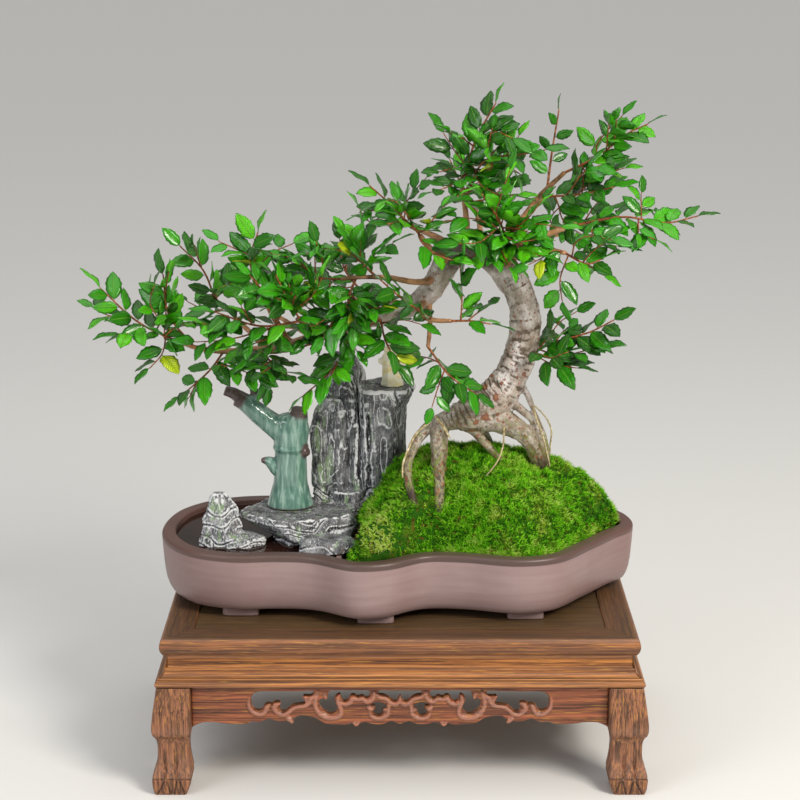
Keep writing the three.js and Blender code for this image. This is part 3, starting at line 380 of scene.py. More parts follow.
def elm_bark():
    """Smooth elm bark: pale silver-grey with fine red-brown lenticels across the limb. Low on the roots it is damp and
    green, and thin limbs are red-brown young wood. The pattern runs with each limb, by the attribute limb."""
    material, tree, shader = new_material("elm_bark", IOR=1.45)
    limb = add_node(tree, "Attribute", attribute_name="limb").outputs["Vector"]
    hollow, damp, knot, crook_shade, foot, young = (
        add_node(tree, "Attribute", attribute_name=mark).outputs["Fac"]
        for mark in ("hollow", "damp", "knot", "crook_shade", "foot", "young"))

    def along_limb(size_along, size_round, detail, roughness=0.5):
        return drawn_out_noise(tree, limb, (size_along, size_round, size_round), detail, roughness, unit=1)

    blotch = along_limb(22, 12, 5.0, 0.62)
    # Lenticels 1 mm along the limb and 2 mm round it, and rarer warm spots.
    speck = add_node(tree, "MapRange", {"Value": along_limb(1.1, 2.2, 2.5, 0.65), "From Min": 0.62, "From Max": 0.7})
    spot = add_node(tree, "MapRange", {"Value": along_limb(2.6, 3.0, 1.0), "From Min": 0.62, "From Max": 0.68,
                                       "To Max": 0.9})
    # Painted shade of the leaves over the trunk's top bend, broken up by the blotches.
    painted_leaf_shade = add_node(tree, "Math", {0: crook_shade, 1: blotch}, operation="SUBTRACT")
    skin = add_node(tree, "ValToRGB", {"Fac": blotch},
                    stops=[(0.3, "#908170"), (0.41, "#ab9f94"), (0.53, "#c6bcb5"), (0.68, "#ebe6e3")])
    for stain in (
        ("#8c7c68", along_limb(9, 0.9, 3.0), (0.55, 0.72), 0.55),  # fibres
        ("#6b4632", speck),
        ("#94563e", spot),
        # Darker in the creases, wrinkles and pits: partly dark bark in its fissures, partly painted shade.
        ("#4d3c28", hollow, (0.2, 0.9), 0.9),
        ("#766c46", damp, (0.0, 0.9), 0.82),
        ("#423326", along_limb(4, 3, 4.0, 0.65), (0.48, 0.57), 0.9, damp),  # mud
        ("#6f8030", along_limb(7, 4, 4.0, 0.6), (0.52, 0.62), 1.0, damp),  # green bloom
        ("#8f4a2e", spot, (0.0, 0.7), 1.0, damp),  # the warm spots, redder where it is damp
        ("#74402a", knot, (0.2, 0.55), 0.9),
        ("#a06a45", knot, (0.75, 1.0), 0.7),
        # Painted shade of the leaves over the trunk's top bend.
        ("#453828", painted_leaf_shade, (-0.4, 0.3), 0.85),
        ("#33241c", foot, (0.0, 1.0), 0.9),
        ("#b27b46", young, (0.0, 1.0), 0.85),
        ("#4a3522", blotch, (0.52, 0.34), 1.0, young),  # patches where the young wood ages
    ):
        skin = stained(tree, skin, *stain)
    satin = add_node(tree, "MapRange", {"Value": blotch, "To Min": 0.45, "To Max": 0.75})
    height = add_node(tree, "Math", {0: speck, 1: 0.5, 2: along_limb(2.5, 1.2, 5.0)}, operation="MULTIPLY_ADD")
    bump = add_node(tree, "Bump", {"Height": height, "Strength": 0.6, "Distance": 0.5 * MM})
    join(tree, shader, {"Base Color": skin, "Roughness": satin, "Normal": bump})
    return material


def elm_leaf():
    """A living elm leaf: waxy and bright above, with a pale midrib and side veins pressed in. The veins follow the
    attributes rib, from base to tip, and blade, from the midrib to the edge; age goes from dark green to yellow."""
    material, tree, shader = new_material("elm_leaf", IOR=1.45, Roughness=0.25, Specular_IOR_Level=0.45,
                                          Coat_Weight=0.45, Coat_Roughness=0.12)
    rib, blade, age = (add_node(tree, "Attribute", attribute_name=mark).outputs["Fac"]
                       for mark in ("rib", "blade", "age"))
    green = add_node(tree, "ValToRGB", {"Fac": age}, stops=[
        (0.0, "#083a03"), (0.3, "#1a7003"), (0.58, "#33a404"), (0.82, "#5ecb0a"), (1.0, "#c3d81c")])
    # Eleven side veins a side, slanting forward from the midrib.
    slant = add_node(tree, "Math", {0: blade, 1: -0.28, 2: rib}, operation="MULTIPLY_ADD")
    turns = add_node(tree, "Math", {0: slant, 1: 11 * TAU}, operation="MULTIPLY")
    wave = add_node(tree, "Math", {0: turns}, operation="COSINE")
    vein = add_node(tree, "MapRange", {"Value": wave, "From Min": 0.55, "From Max": 1.0})
    ribs = masked(tree, blade, (0.1, 0.02), 0.62)
    veins = add_node(tree, "Math", {0: vein, 1: 0.62, 2: ribs}, operation="MULTIPLY_ADD", use_clamp=True)
    place = add_node(tree, "TexCoord").outputs["Object"]
    mottle = add_node(tree, "TexNoise", {"Vector": place, "Scale": per_mm(5), "Detail": 3.0})
    shade = add_node(tree, "MapRange", {"Value": mottle, "To Min": 0.72, "To Max": 1.25})
    tinted = add_node(tree, "HueSaturation", {"Color": green, "Value": shade})
    veined = stained(tree, tinted, "#7cc23a", veins)
    softened = add_node(tree, "Mix", {"Factor": 0.8, "A": tinted, "B": veined}, data_type="RGBA")
    crinkle = add_node(tree, "Math", {0: mottle, 1: 0.9, 2: veins}, operation="MULTIPLY_ADD")
    pressed = add_node(tree, "Bump", {"Height": crinkle, "Strength": 1.0, "Distance": 1.3 * MM}, invert=True)
    join(tree, shader, {"Base Color": softened, "Normal": pressed})
    return material


def speckled(name, size, detail, stops, **shader):
    """A plain finish: one noise of a size in millimetres that runs through colour stops."""
    material, tree, principled = new_material(name, **shader)
    place = add_node(tree, "TexCoord").outputs["Object"]
    cloud = add_node(tree, "TexNoise", {"Vector": place, "Scale": per_mm(size), "Detail": detail})
    join(tree, principled, {"Base Color": add_node(tree, "ValToRGB", {"Fac": cloud}, stops=stops)})
    return material, tree, principled, cloud


def young_twig():
    """Young elm wood: thin red-brown bark with paler specks, a little shiny."""
    return speckled("young_twig", 2.5, 3.0, [(0.3, "#4a2412"), (0.52, "#8a4a22"), (0.7, "#b57a44")],
                    IOR=1.45, Roughness=0.55)[0]


def dry_root():
    """A dried root hair or strip: straw, matt and fibrous."""
    return speckled("dry_root", 3, 4.0, [(0.35, "#8c7a52"), (0.58, "#c6b78e"), (0.75, "#eae2c6")],
                    IOR=1.45, Roughness=0.8)[0]


def cushion_moss():
    """Living cushion moss: dark between its shoots, partly its own older stems and partly painted shade, vivid green up
    them and yellow-green at their tips, by the attribute tip. It is yellower in patches and by the attribute pale, with
    brown dry flecks."""
    material, tree, shader = new_material("cushion_moss", IOR=1.4, Roughness=0.8, Specular_IOR_Level=0.2)
    place = add_node(tree, "TexCoord").outputs["Object"]
    tip, pale = (add_node(tree, "Attribute", attribute_name=mark).outputs["Fac"] for mark in ("tip", "pale"))
    patch = add_node(tree, "TexNoise", {"Vector": place, "Scale": per_mm(24), "Detail": 5.0, "Roughness": 0.6})
    patched = add_node(tree, "MapRange", {"Value": patch, "From Min": 0.5, "From Max": 0.7})
    yellowed = add_node(tree, "Math", {0: patched, 1: pale}, operation="MAXIMUM")
    green = add_node(tree, "ValToRGB", {"Fac": tip}, stops=[
        (0.0, "#10220a"), (0.2, "#2c6604"), (0.5, "#5fb90a"), (0.8, "#a8e230"), (1.0, "#e6f88c")])
    yellow = add_node(tree, "ValToRGB", {"Fac": tip}, stops=[
        (0.0, "#1e2a04"), (0.2, "#5f8414"), (0.5, "#a8cc34"), (1.0, "#f4f8b4")])
    grown = add_node(tree, "Mix", {"Factor": yellowed, "A": green, "B": yellow}, data_type="RGBA")
    fleck = add_node(tree, "TexNoise", {"Vector": place, "Scale": per_mm(5), "Detail": 4.0})
    fuzz = add_node(tree, "TexNoise", {"Vector": place, "Scale": per_mm(1.2), "Detail": 4.0})
    bump = add_node(tree, "Bump", {"Height": fuzz, "Strength": 0.8, "Distance": 1.0 * MM})
    join(tree, shader, {"Base Color": stained(tree, grown, "#6b4a20", fleck, (0.6, 0.66), 0.75), "Normal": bump})
    return material


def potting_soil():
    """Potting soil: dark brown crumbs of 1 to 3 mm, some of them pale grit."""
    material, tree, shader = new_material("potting_soil", IOR=1.45, Roughness=0.95)
    place = add_node(tree, "TexCoord").outputs["Object"]
    crumb = add_node(tree, "TexVoronoi", {"Vector": place, "Scale": per_mm(2.2)})
    colour = add_node(tree, "ValToRGB", {"Fac": crumb.outputs["Color"]},
                      stops=[(0.1, "#1d130c"), (0.5, "#3b2819"), (0.8, "#5e4329"), (0.95, "#8a7453")])
    bump = add_node(tree, "Bump", {"Height": crumb, "Strength": 1.0, "Distance": 1.5 * MM}, invert=True)
    join(tree, shader, {"Base Color": colour, "Normal": bump})
    return material


def purple_clay():
    """Unglazed purple-brown stoneware, burnished when leather hard: satin, with fine grit and soft wiped streaks. It is
    darker on the flat of the rim and inside, by the attribute rim, and its ends are darker and redder by painted shade,
    where the walls turn away from the light."""
    material, tree, shader = new_material("purple_clay", IOR=1.5)
    place = add_node(tree, "TexCoord").outputs["Object"]
    cloud = add_node(tree, "TexNoise", {"Vector": place, "Scale": per_mm(60), "Detail": 5.0})
    streak = drawn_out_noise(tree, place, (60, 60, 5), 3.0)
    both = add_node(tree, "Math", {0: cloud, 1: streak}, operation="ADD")
    halved = add_node(tree, "Math", {0: both, 1: 0.5}, operation="MULTIPLY")
    clay = add_node(tree, "ValToRGB", {"Fac": halved}, stops=[(0.2, "#8b706f"), (0.5, "#99817f"), (0.8, "#a99391")])
    grit = add_node(tree, "TexNoise", {"Vector": place, "Scale": per_mm(0.9), "Detail": 2.0})
    clay = stained(tree, clay, "#a58e86", grit, (0.62, 0.74), 0.5)
    clay = stained(tree, clay, "#4a3831", add_node(tree, "Attribute", attribute_name="rim").outputs["Fac"])
    # Painted shade: the ends are darker and redder where the walls turn away from the light, by the distance from the
    # middle along X, from 130 to 235 mm.
    across = add_node(tree, "SeparateXYZ", {"Vector": place}).outputs["X"]
    apart = add_node(tree, "Math", {0: across}, operation="ABSOLUTE")
    clay = stained(tree, clay, "#6a4740", apart, (130 * MM, 235 * MM), 0.5)
    satin = add_node(tree, "MapRange", {"Value": streak, "To Min": 0.3, "To Max": 0.5})
    bump = add_node(tree, "Bump", {"Height": grit, "Strength": 0.25, "Distance": 0.2 * MM})
    join(tree, shader, {"Base Color": clay, "Roughness": satin, "Normal": bump})
    return material


def pool_water():
    """Still, peat-dark water: a mirror over deep brown, with the faintest swell."""
    material, tree, shader, cloud = speckled(
        "pool_water", 45, 4.0, [(0.35, "#1a0d08"), (0.55, "#2b1710"), (0.7, "#412519")], IOR=1.33, Roughness=0.03)
    join(tree, shader, {"Normal": add_node(tree, "Bump", {"Height": cloud, "Strength": 0.15, "Distance": 0.5 * MM})})
    return material


def weathered_stone():
    """Carved slate-like stone, stained grey and brushed white: dark in its grooves by painted shade, with pale lines
    along the columns' lips, the layers and the edges pale with wear, these partly painted highlight, and brown and
    green streaks down its faces. It follows the attributes that carving leaves: flow and rise for the columns, layer
    and bed for the layers, ridge for the edges."""
    material, tree, shader = new_material("weathered_stone", IOR=1.5, Specular_IOR_Level=0.3)
    place = add_node(tree, "TexCoord").outputs["Object"]
    flow, rise, layer, bed, ridge = (add_node(tree, "Attribute", attribute_name=mark).outputs["Fac"]
                                     for mark in ("flow", "rise", "layer", "bed", "ridge"))
    cloud = drawn_out_noise(tree, place, (14, 14, 20), 6.0, 0.65)
    streak = drawn_out_noise(tree, place, (8, 8, 50), 4.0)
    fine = drawn_out_noise(tree, place, (1.6, 1.6, 3.0), 4.0)
    colour = add_node(tree, "ValToRGB", {"Fac": cloud},
                      stops=[(0.32, "#242529"), (0.45, "#46474b"), (0.57, "#6a6b6f"), (0.72, "#a8a9ac")])
    colour = stained(tree, colour, "#6e5a48", streak, (0.6, 0.72), 0.45)
    colour = stained(tree, colour, "#86a86c", streak, (0.43, 0.34), 0.6)
    # Contours nested in each column, pale along the lips, partly brushed white and partly painted highlight: the
    # distance from the groove, wrapped every 0.36, is near 0.14.
    apart = add_node(tree, "Math", {0: flow}, operation="ABSOLUTE")
    wrapped = add_node(tree, "Math", {0: apart, 1: 0.36}, operation="MODULO")
    beside = add_node(tree, "Math", {0: wrapped, 1: 0.14}, operation="SUBTRACT")
    nested = add_node(tree, "Math", {0: beside}, operation="ABSOLUTE")
    contour = masked(tree, nested, (0.04, 0.015), rise)
    # Pale edges of the layers, at 0.8 of each, partly painted highlight.
    saw = add_node(tree, "Math", {0: layer}, operation="FRACT")
    below = add_node(tree, "Math", {0: saw, 1: 0.8}, operation="SUBTRACT")
    near_edge = add_node(tree, "Math", {0: below}, operation="ABSOLUTE")
    edge = masked(tree, near_edge, (0.09, 0.04), bed)
    drawn = add_node(tree, "Math", {0: contour, 1: edge}, operation="MAXIMUM")
    lines = masked(tree, fine, (0.34, 0.48), drawn)
    # Between them bristle strokes about 0.8 mm wide and broad washes of white, both broken up by the fine noise.
    stroke, wash = (
        masked(tree, drawn_out_noise(tree, place, (across, across, up), detail, 0.6), span,
               add_node(tree, "MapRange", {"Value": fine, "From Min": low, "From Max": high}), most)
        for across, up, detail, span, most, low, high in (
            (1.1, 14, 3.0, (0.53, 0.66), 0.75, 0.4, 0.56), (5, 44, 4.0, (0.57, 0.66), 0.85, 0.36, 0.6)))
    # Pale on the edges that stand out: wear, brushed white and painted highlight.
    worn = add_node(tree, "Math", {0: ridge, 1: fine}, operation="ADD")
    chalk = add_node(tree, "MapRange", {"Value": worn, "From Min": 0.78, "From Max": 1.1, "To Max": 0.95})
    edges = add_node(tree, "Math", {0: lines, 1: chalk}, operation="MAXIMUM")
    painted = add_node(tree, "Math", {0: stroke, 1: wash}, operation="MAXIMUM")
    white = add_node(tree, "Math", {0: edges, 1: painted}, operation="MAXIMUM")
    # Painted shade, almost black, in the grooves between the columns and the seams between the layers.
    groove = add_node(tree, "Math", {0: masked(tree, apart, (0.07, 0.03), rise),
                                     1: masked(tree, saw, (0.9, 0.96), bed)}, operation="MAXIMUM")
    colour = stained(tree, colour, "#0e0e10", add_node(tree, "Math", {0: groove, 1: 0.9}, operation="MULTIPLY"))
    colour = stained(tree, colour, "#dcdee1", white)
    matt = add_node(tree, "MapRange", {"Value": cloud, "To Min": 0.5, "To Max": 0.85})
    height = add_node(tree, "Math", {0: lines, 1: 0.5, 2: fine}, operation="MULTIPLY_ADD")
    bump = add_node(tree, "Bump", {"Height": height, "Strength": 0.8, "Distance": 0.9 * MM})
    join(tree, shader, {"Base Color": colour, "Roughness": matt, "Normal": bump})
    return material


def celadon_glaze():
    """Celadon glaze over stoneware: grey-green glass that ran down in pale streaks, brown where the clay is bare, by
    the attribute bare."""
    material, tree, shader = new_material("celadon_glaze", IOR=1.5, Coat_Weight=0.7, Coat_Roughness=0.03)
    place = add_node(tree, "TexCoord").outputs["Object"]
    bare = add_node(tree, "Attribute", attribute_name="bare").outputs["Fac"]
    run = drawn_out_noise(tree, place, (4, 4, 26), 4.0)
    glaze = add_node(tree, "ValToRGB", {"Fac": run}, stops=[(0.34, "#4c7267"), (0.5, "#688e80"), (0.66, "#98b5a8")])
    dull = add_node(tree, "MapRange", {"Value": bare, "To Min": 0.1, "To Max": 0.7})
    join(tree, shader, {"Base Color": stained(tree, glaze, "#4b3a36", bare), "Roughness": dull})
    return material


def ivory_glaze():
    """Cream glaze on a moulded stoneware tower: glossy, yellow where it gathers."""
    return speckled("ivory_glaze", 7, 4.0, [(0.3, "#ead88c"), (0.42, "#f9efc0"), (0.55, "#fffae4")],
                    IOR=1.5, Roughness=0.25)[0]


def opening_shade():
    """Painted shade for the tower's window openings: almost black brown."""
    return speckled("opening_shade", 1.5, 3.0, [(0.4, "#17120f"), (0.7, "#3a2f27")], IOR=1.45, Roughness=0.9)[0]


def oiled_hardwood(name, grain_axis, pale, middle, dark, rubbed_and_highlight="#c8926c"):
    """Oiled rosewood: straight open grain along one axis, in wide bands of colour. Its dark pores lie 1 mm apart, drawn
    a little coarser than real so that they show. The attribute worn makes edges pale, as wear on the mouldings and as
    painted highlight on the carved vines, toe ridges and knees; the attribute cut paints shade into the carved cuts,
    and the faces that look up get painted shade too."""
    material, tree, shader = new_material(name, IOR=1.5, Specular_IOR_Level=0.4, Coat_Weight=0.12, Coat_Roughness=0.25)
    coordinates = add_node(tree, "TexCoord")
    # The Z of the normal, for painted shade on the faces that look up.
    top_face_shade = add_node(tree, "SeparateXYZ", {"Vector": coordinates.outputs["Normal"]}).outputs["Z"]
    worn, cut = (add_node(tree, "Attribute", attribute_name=mark).outputs["Fac"] for mark in ("worn", "cut"))

    def streaks(across, along, detail):
        sizes = [across] * 3
        sizes[grain_axis] = along
        return drawn_out_noise(tree, coordinates.outputs["Object"], sizes, detail, 0.6)

    pore = streaks(1.0, 48, 3.0)
    wood = add_node(tree, "ValToRGB", {"Fac": streaks(2.6, 150, 5.0)},
                    stops=[(0.37, dark), (0.5, middle), (0.63, pale)])
    for stain in (
        ("#2c1810", pore, (0.51, 0.62), 0.75),
        ("#c9923a", streaks(1.3, 30, 3.0), (0.57, 0.68), 0.6),  # short golden streaks
        # Pale with wear on the edges, and painted highlight on the raised carving.
        (rubbed_and_highlight, worn, (0.1, 1.0), 0.5),
        ("#463625", top_face_shade, (0.8, 0.98), 0.75),  # painted shade, olive brown, on the faces of the wood that look up
        # Painted shade in the carved cuts and grooves.
        ("#20120c", cut, (0.15, 0.9), 0.85),
    ):
        wood = stained(tree, wood, *stain)
    satin = add_node(tree, "MapRange", {"Value": pore, "To Min": 0.3, "To Max": 0.6})
    bump = add_node(tree, "Bump", {"Height": pore, "Strength": 0.5, "Distance": 0.35 * MM}, invert=True)
    join(tree, shader, {"Base Color": wood, "Roughness": satin, "Normal": bump})
    return material


def hardwood_pair(name, *colours):
    """One finish for the stand's long and short sides, with its grain along X and along Y."""
    return [oiled_hardwood(f"{name}_{side}", axis, *colours) for side, axis in (("long", 0), ("short", 1))]


# The tree

# The trunk, the roots it stands on and its limbs: for each a route of [u, v, y] and the radii along it.
TRUNK = (
    [[48, -20, 3], [66, -15, 3], [94, 0, 4], [114, 30, 6], [123, 58, 8], [125, 84, 9], [120, 104, 10], [110, 124, 10],
     [96, 140, 10], [80, 149, 10], [64, 151, 9], [50, 141, 8], [38, 122, 7], [26, 105, 6], [8, 92, 5], [-22, 83, 3],
     [-60, 72, 1], [-94, 60, 0], [-124, 51, -1], [-158, 49, -3]],
    [9, 19, 19, 17.5, 16, 15.5, 15, 15, 14.5, 13.5, 12.5, 11.5, 10.5, 9.5, 8.5, 7.5, 6.5, 5.8, 5, 4.2],
)
STILT_ROOTS = [
    ([[56, -18, 2], [42, -24, -6], [39.5, -46, -18], [38.5, -75, -32], [38, -98, -41], [37.6, -121, -47],
      [37.6, -136, -52]], [12, 10, 8.5, 7.5, 6.5, 6, 5.6]),
    ([[50, -18, 6], [33, -24, 2], [20, -37, -12], [12, -52, -26], [7.5, -69, -40], [9.5, -86, -51], [14, -104, -57],
      [15.5, -112, -50]], [9, 7, 5.4, 4.8, 4.6, 4.4, 4.2, 4]),
    ([[52, -16, 2], [84, -17, -1], [106, -22, -2], [122, -32, -4], [133, -46, -4], [138, -60, -1], [139.5, -74, 2.5],
      [139.5, -86, 5]], [12, 18, 14, 11.5, 9.5, 8, 6.5, 6]),
    ([[104, 2, 4], [118, -7, 2], [131, -19, -1], [139, -37, -3], [143, -56, -3], [144, -71, 2], [144, -82, 4]],
     [6, 4.5, 3.6, 3.2, 3, 2.8, 2.6]),
    ([[112, 22, 6], [126, 8, 4], [134, -12, 0], [143, -31, -2], [148, -52, -3], [147.5, -70, 1], [147, -80, 3]],
     [5, 3.4, 2.4, 2.1, 2, 2, 1.9]),
    ([[70, -26, 0], [86, -44, -8], [99, -58, -10], [107, -66, -10], [113, -73, -10]], [6, 4.4, 3.8, 3.2, 2.6]),
    ([[76, -20, 8], [84, -36, 24], [92, -52, 34], [98, -66, 40]], [9, 6.5, 5.5, 5]),
]
LIMBS = [
    ([[66, 150, 10], [67, 172, 14], [64, 200, 18], [62, 215, 20]], [5, 3, 2.6, 2.4]),
    ([[92, 140, 8], [124, 158, 0], [154, 168, -5], [177, 176, -8]], [6, 4, 3.2, 2.6]),
    ([[88, 144, 10], [118, 176, 25], [142, 206, 30], [165, 228, 25]], [6, 4, 3, 2.4]),
    ([[98, 134, 5], [128, 148, -24], [148, 150, -38], [166, 147, -45]], [5, 3.4, 2.8, 2.4]),
    ([[60, 148, 12], [34, 164, 38], [10, 174, 58]], [5, 3.4, 2.4]),
    ([[48, 138, 5], [32, 150, -24], [20, 165, -45]], [5, 3.2, 2.4]),
    ([[36, 120, 5], [14, 118, -20], [-8, 122, -35], [-34, 123, -38], [-60, 121, -36]], [4.5, 3.2, 2.8, 2.4, 2.2]),
    ([[26, 104, 6], [20, 86, -20], [33, 80, -38], [52, 79, -45]], [4, 2.8, 2.6, 2.2]),
    ([[8, 92, 6], [-16, 101, 34], [-40, 110, 58]], [4.5, 3.2, 2.4]),
    ([[-14, 86, 3], [-30, 76, -9], [-46, 66, -13]], [3.6, 2.8, 2.2]),
    ([[28, 106, 6], [30, 78, -8], [28, 52, -18]], [3.6, 2.6, 2.2]),
    ([[-150, 49, -2], [-180, 49, -10], [-206, 53, -15], [-226, 60, -20]], [4, 3, 2.6, 2.2]),
    ([[-132, 51, -1], [-152, 70, 14], [-166, 84, 26]], [4, 2.8, 2.2]),
    ([[-110, 56, 0], [-128, 86, -12], [-143, 114, -18]], [4, 3, 2.2]),
    ([[76, 148, 12], [80, 172, 50], [76, 190, 82]], [5, 3.4, 2.4]),
    ([[100, 136, 12], [130, 158, 48], [160, 166, 76]], [5, 3.4, 2.4]),
    ([[-86, 63, 1], [-106, 74, 34], [-124, 85, 62]], [4, 2.8, 2.2]),
    ([[-76, 67, 0], [-88, 74, -32], [-100, 80, -58]], [4, 2.8, 2.2]),
]
# Dried aerial roots and a torn strip of bark that hang from the trunk.
DRY_ROOTS = [
    ([[133, -5, -6], [137, -20, -8], [143, -36, -12], [147, -52, -15], [150, -66, -18]], [0.9, 0.8, 0.7, 0.6, 0.5]),
    ([[104, -26, -14], [103, -46, -20], [97, -62, -26], [86, -76, -30]], [0.9, 0.8, 0.7, 0.5]),
    ([[35, -16, -17], [43, -26, -23], [50, -38, -29]], [1.5, 1.3, 0.8]),
    ([[31, -21, -21], [16, -34, -27], [8, -50, -34], [3, -64, -42], [2.5, -78, -48]], [1.1, 1.3, 1.2, 1.0, 0.7]),
    ([[131, -3, 2], [143, -14, 2], [151, -28, 2], [150.5, -44, 2], [149, -60, 2]], [0.7, 0.7, 0.8, 0.8, 0.6]),
]
# Where roots go into the moss, which stains them brown.
ROOT_FEET = [[37.6, -113, -45], [13.5, -97, -55], [141, -64, 0]]
BARK_GRAIN = 1.1  # mm, the size of the tree's mesh cells
# Red-brown knots of healed twigs low on the trunk, as [u, v, radius] on the sheet.
KNOTS = [[86, -17, 4.5], [86, 12, 3.5], [101, 16, 2.6], [96, 3, 3.6], [124, 26, 2.2], [76, -22, 2.6], [97, -14, 1.8],
         [103, -22, 1.8], [76, 12, 3], [110, -18, 1.6], [92, 24, 1.8], [118, 4, 1.6]]
# Where the bark is gathered into creases, and the top bend that the leaves shadow, where shade is painted: [u, v, half
# width, half height].
CREASED_BENDS = [[57, -22, 14, 28], [84, 8, 20, 12]]
LEAF_SHADED_CROOK = [[72, 147, 44, 17]]
# Heights in the frame: the collar of wrinkles, the top of the strands and of the damp part, the lowest young wood.
COLLAR_HEIGHT = 398
STRAND_HEIGHT = 350
DAMP_HEIGHT = 366
YOUNG_HEIGHT = 380
LIMB_GAP = 37.0  # mm between the places given to one limb and the next, so that their patterns differ
BLOCK = 8000  # points whose distances are worked out at once


def on_sheet(points):
    """Where the eye sees each point on the sheet: the offset across and up over the distance along its sight."""
    seen = points - EYE
    deep = seen @ SIGHT
    return np.column_stack([seen[:, 0], seen @ SHEET_UP]) / deep[:, None] * EYE_DISTANCE


def bark_lumps(size):
    """Slow swellings round and along a limb: two sines in the angle that wind along it."""
    return lambda share, angle: size * (np.sin(3 * angle + 23 * share) + 0.7 * np.sin(2 * angle - 41 * share))


def limb_places(points, limbs):
    """For each point its place in the nearest limb: the distance along it and across its middle line, both ways."""
    centres, firsts, seconds, radii, lengths = [], [], [], [], []
    for route, sizes in limbs:
        path = at(route)
        count = max(4, int(np.linalg.norm(np.diff(path, axis=0), axis=1).sum() / 2))
        shares = np.linspace(0, 1, count)
        line = curve_place(path, even_shares(path, shares))
        _, first, second = carried_frames(line)
        steps = np.linalg.norm(np.diff(line, axis=0), axis=1)
        centres.append(line)
        firsts.append(first)
        seconds.append(second)
        radii.append(np.interp(shares * (len(sizes) - 1), np.arange(len(sizes)), sizes))
        lengths.append(np.concatenate([[0], np.cumsum(steps)]) + LIMB_GAP * len(lengths))
    centres, firsts, seconds = np.vstack(centres), np.vstack(firsts), np.vstack(seconds)
    radii, lengths = np.concatenate(radii), np.concatenate(lengths)
    nearest = np.empty(len(points), int)
    for start in range(0, len(points), BLOCK):
        block = points[start:start + BLOCK]
        squared = (block**2).sum(1)[:, None] - 2 * block @ centres.T + (centres**2).sum(1)
        nearest[start:start + BLOCK] = np.argmin(np.sqrt(np.maximum(squared, 0)) - radii, axis=1)
    offset = points - centres[nearest]
    across = (offset * firsts[nearest]).sum(1)
    deep = (offset * seconds[nearest]).sum(1)
    return np.stack([lengths[nearest], across, deep], axis=1), radii[nearest]


def sharp_waves(phase, sharpness):
    """-1 on thin lines half a wave apart and 0 between them: minus what a sine's size times a sharpness leaves of 1."""
    return -np.clip(1 - sharpness * np.abs(np.sin(phase)), 0, 1)


def oval_distance(seen, ovals):
    """How far points on the sheet are from the middle of the nearest oval, in its half widths."""
    ovals = np.array(ovals, float)
    return np.linalg.norm((seen[:, None] - ovals[None, :, :2]) / ovals[None, :, 2:], axis=2).min(axis=1)


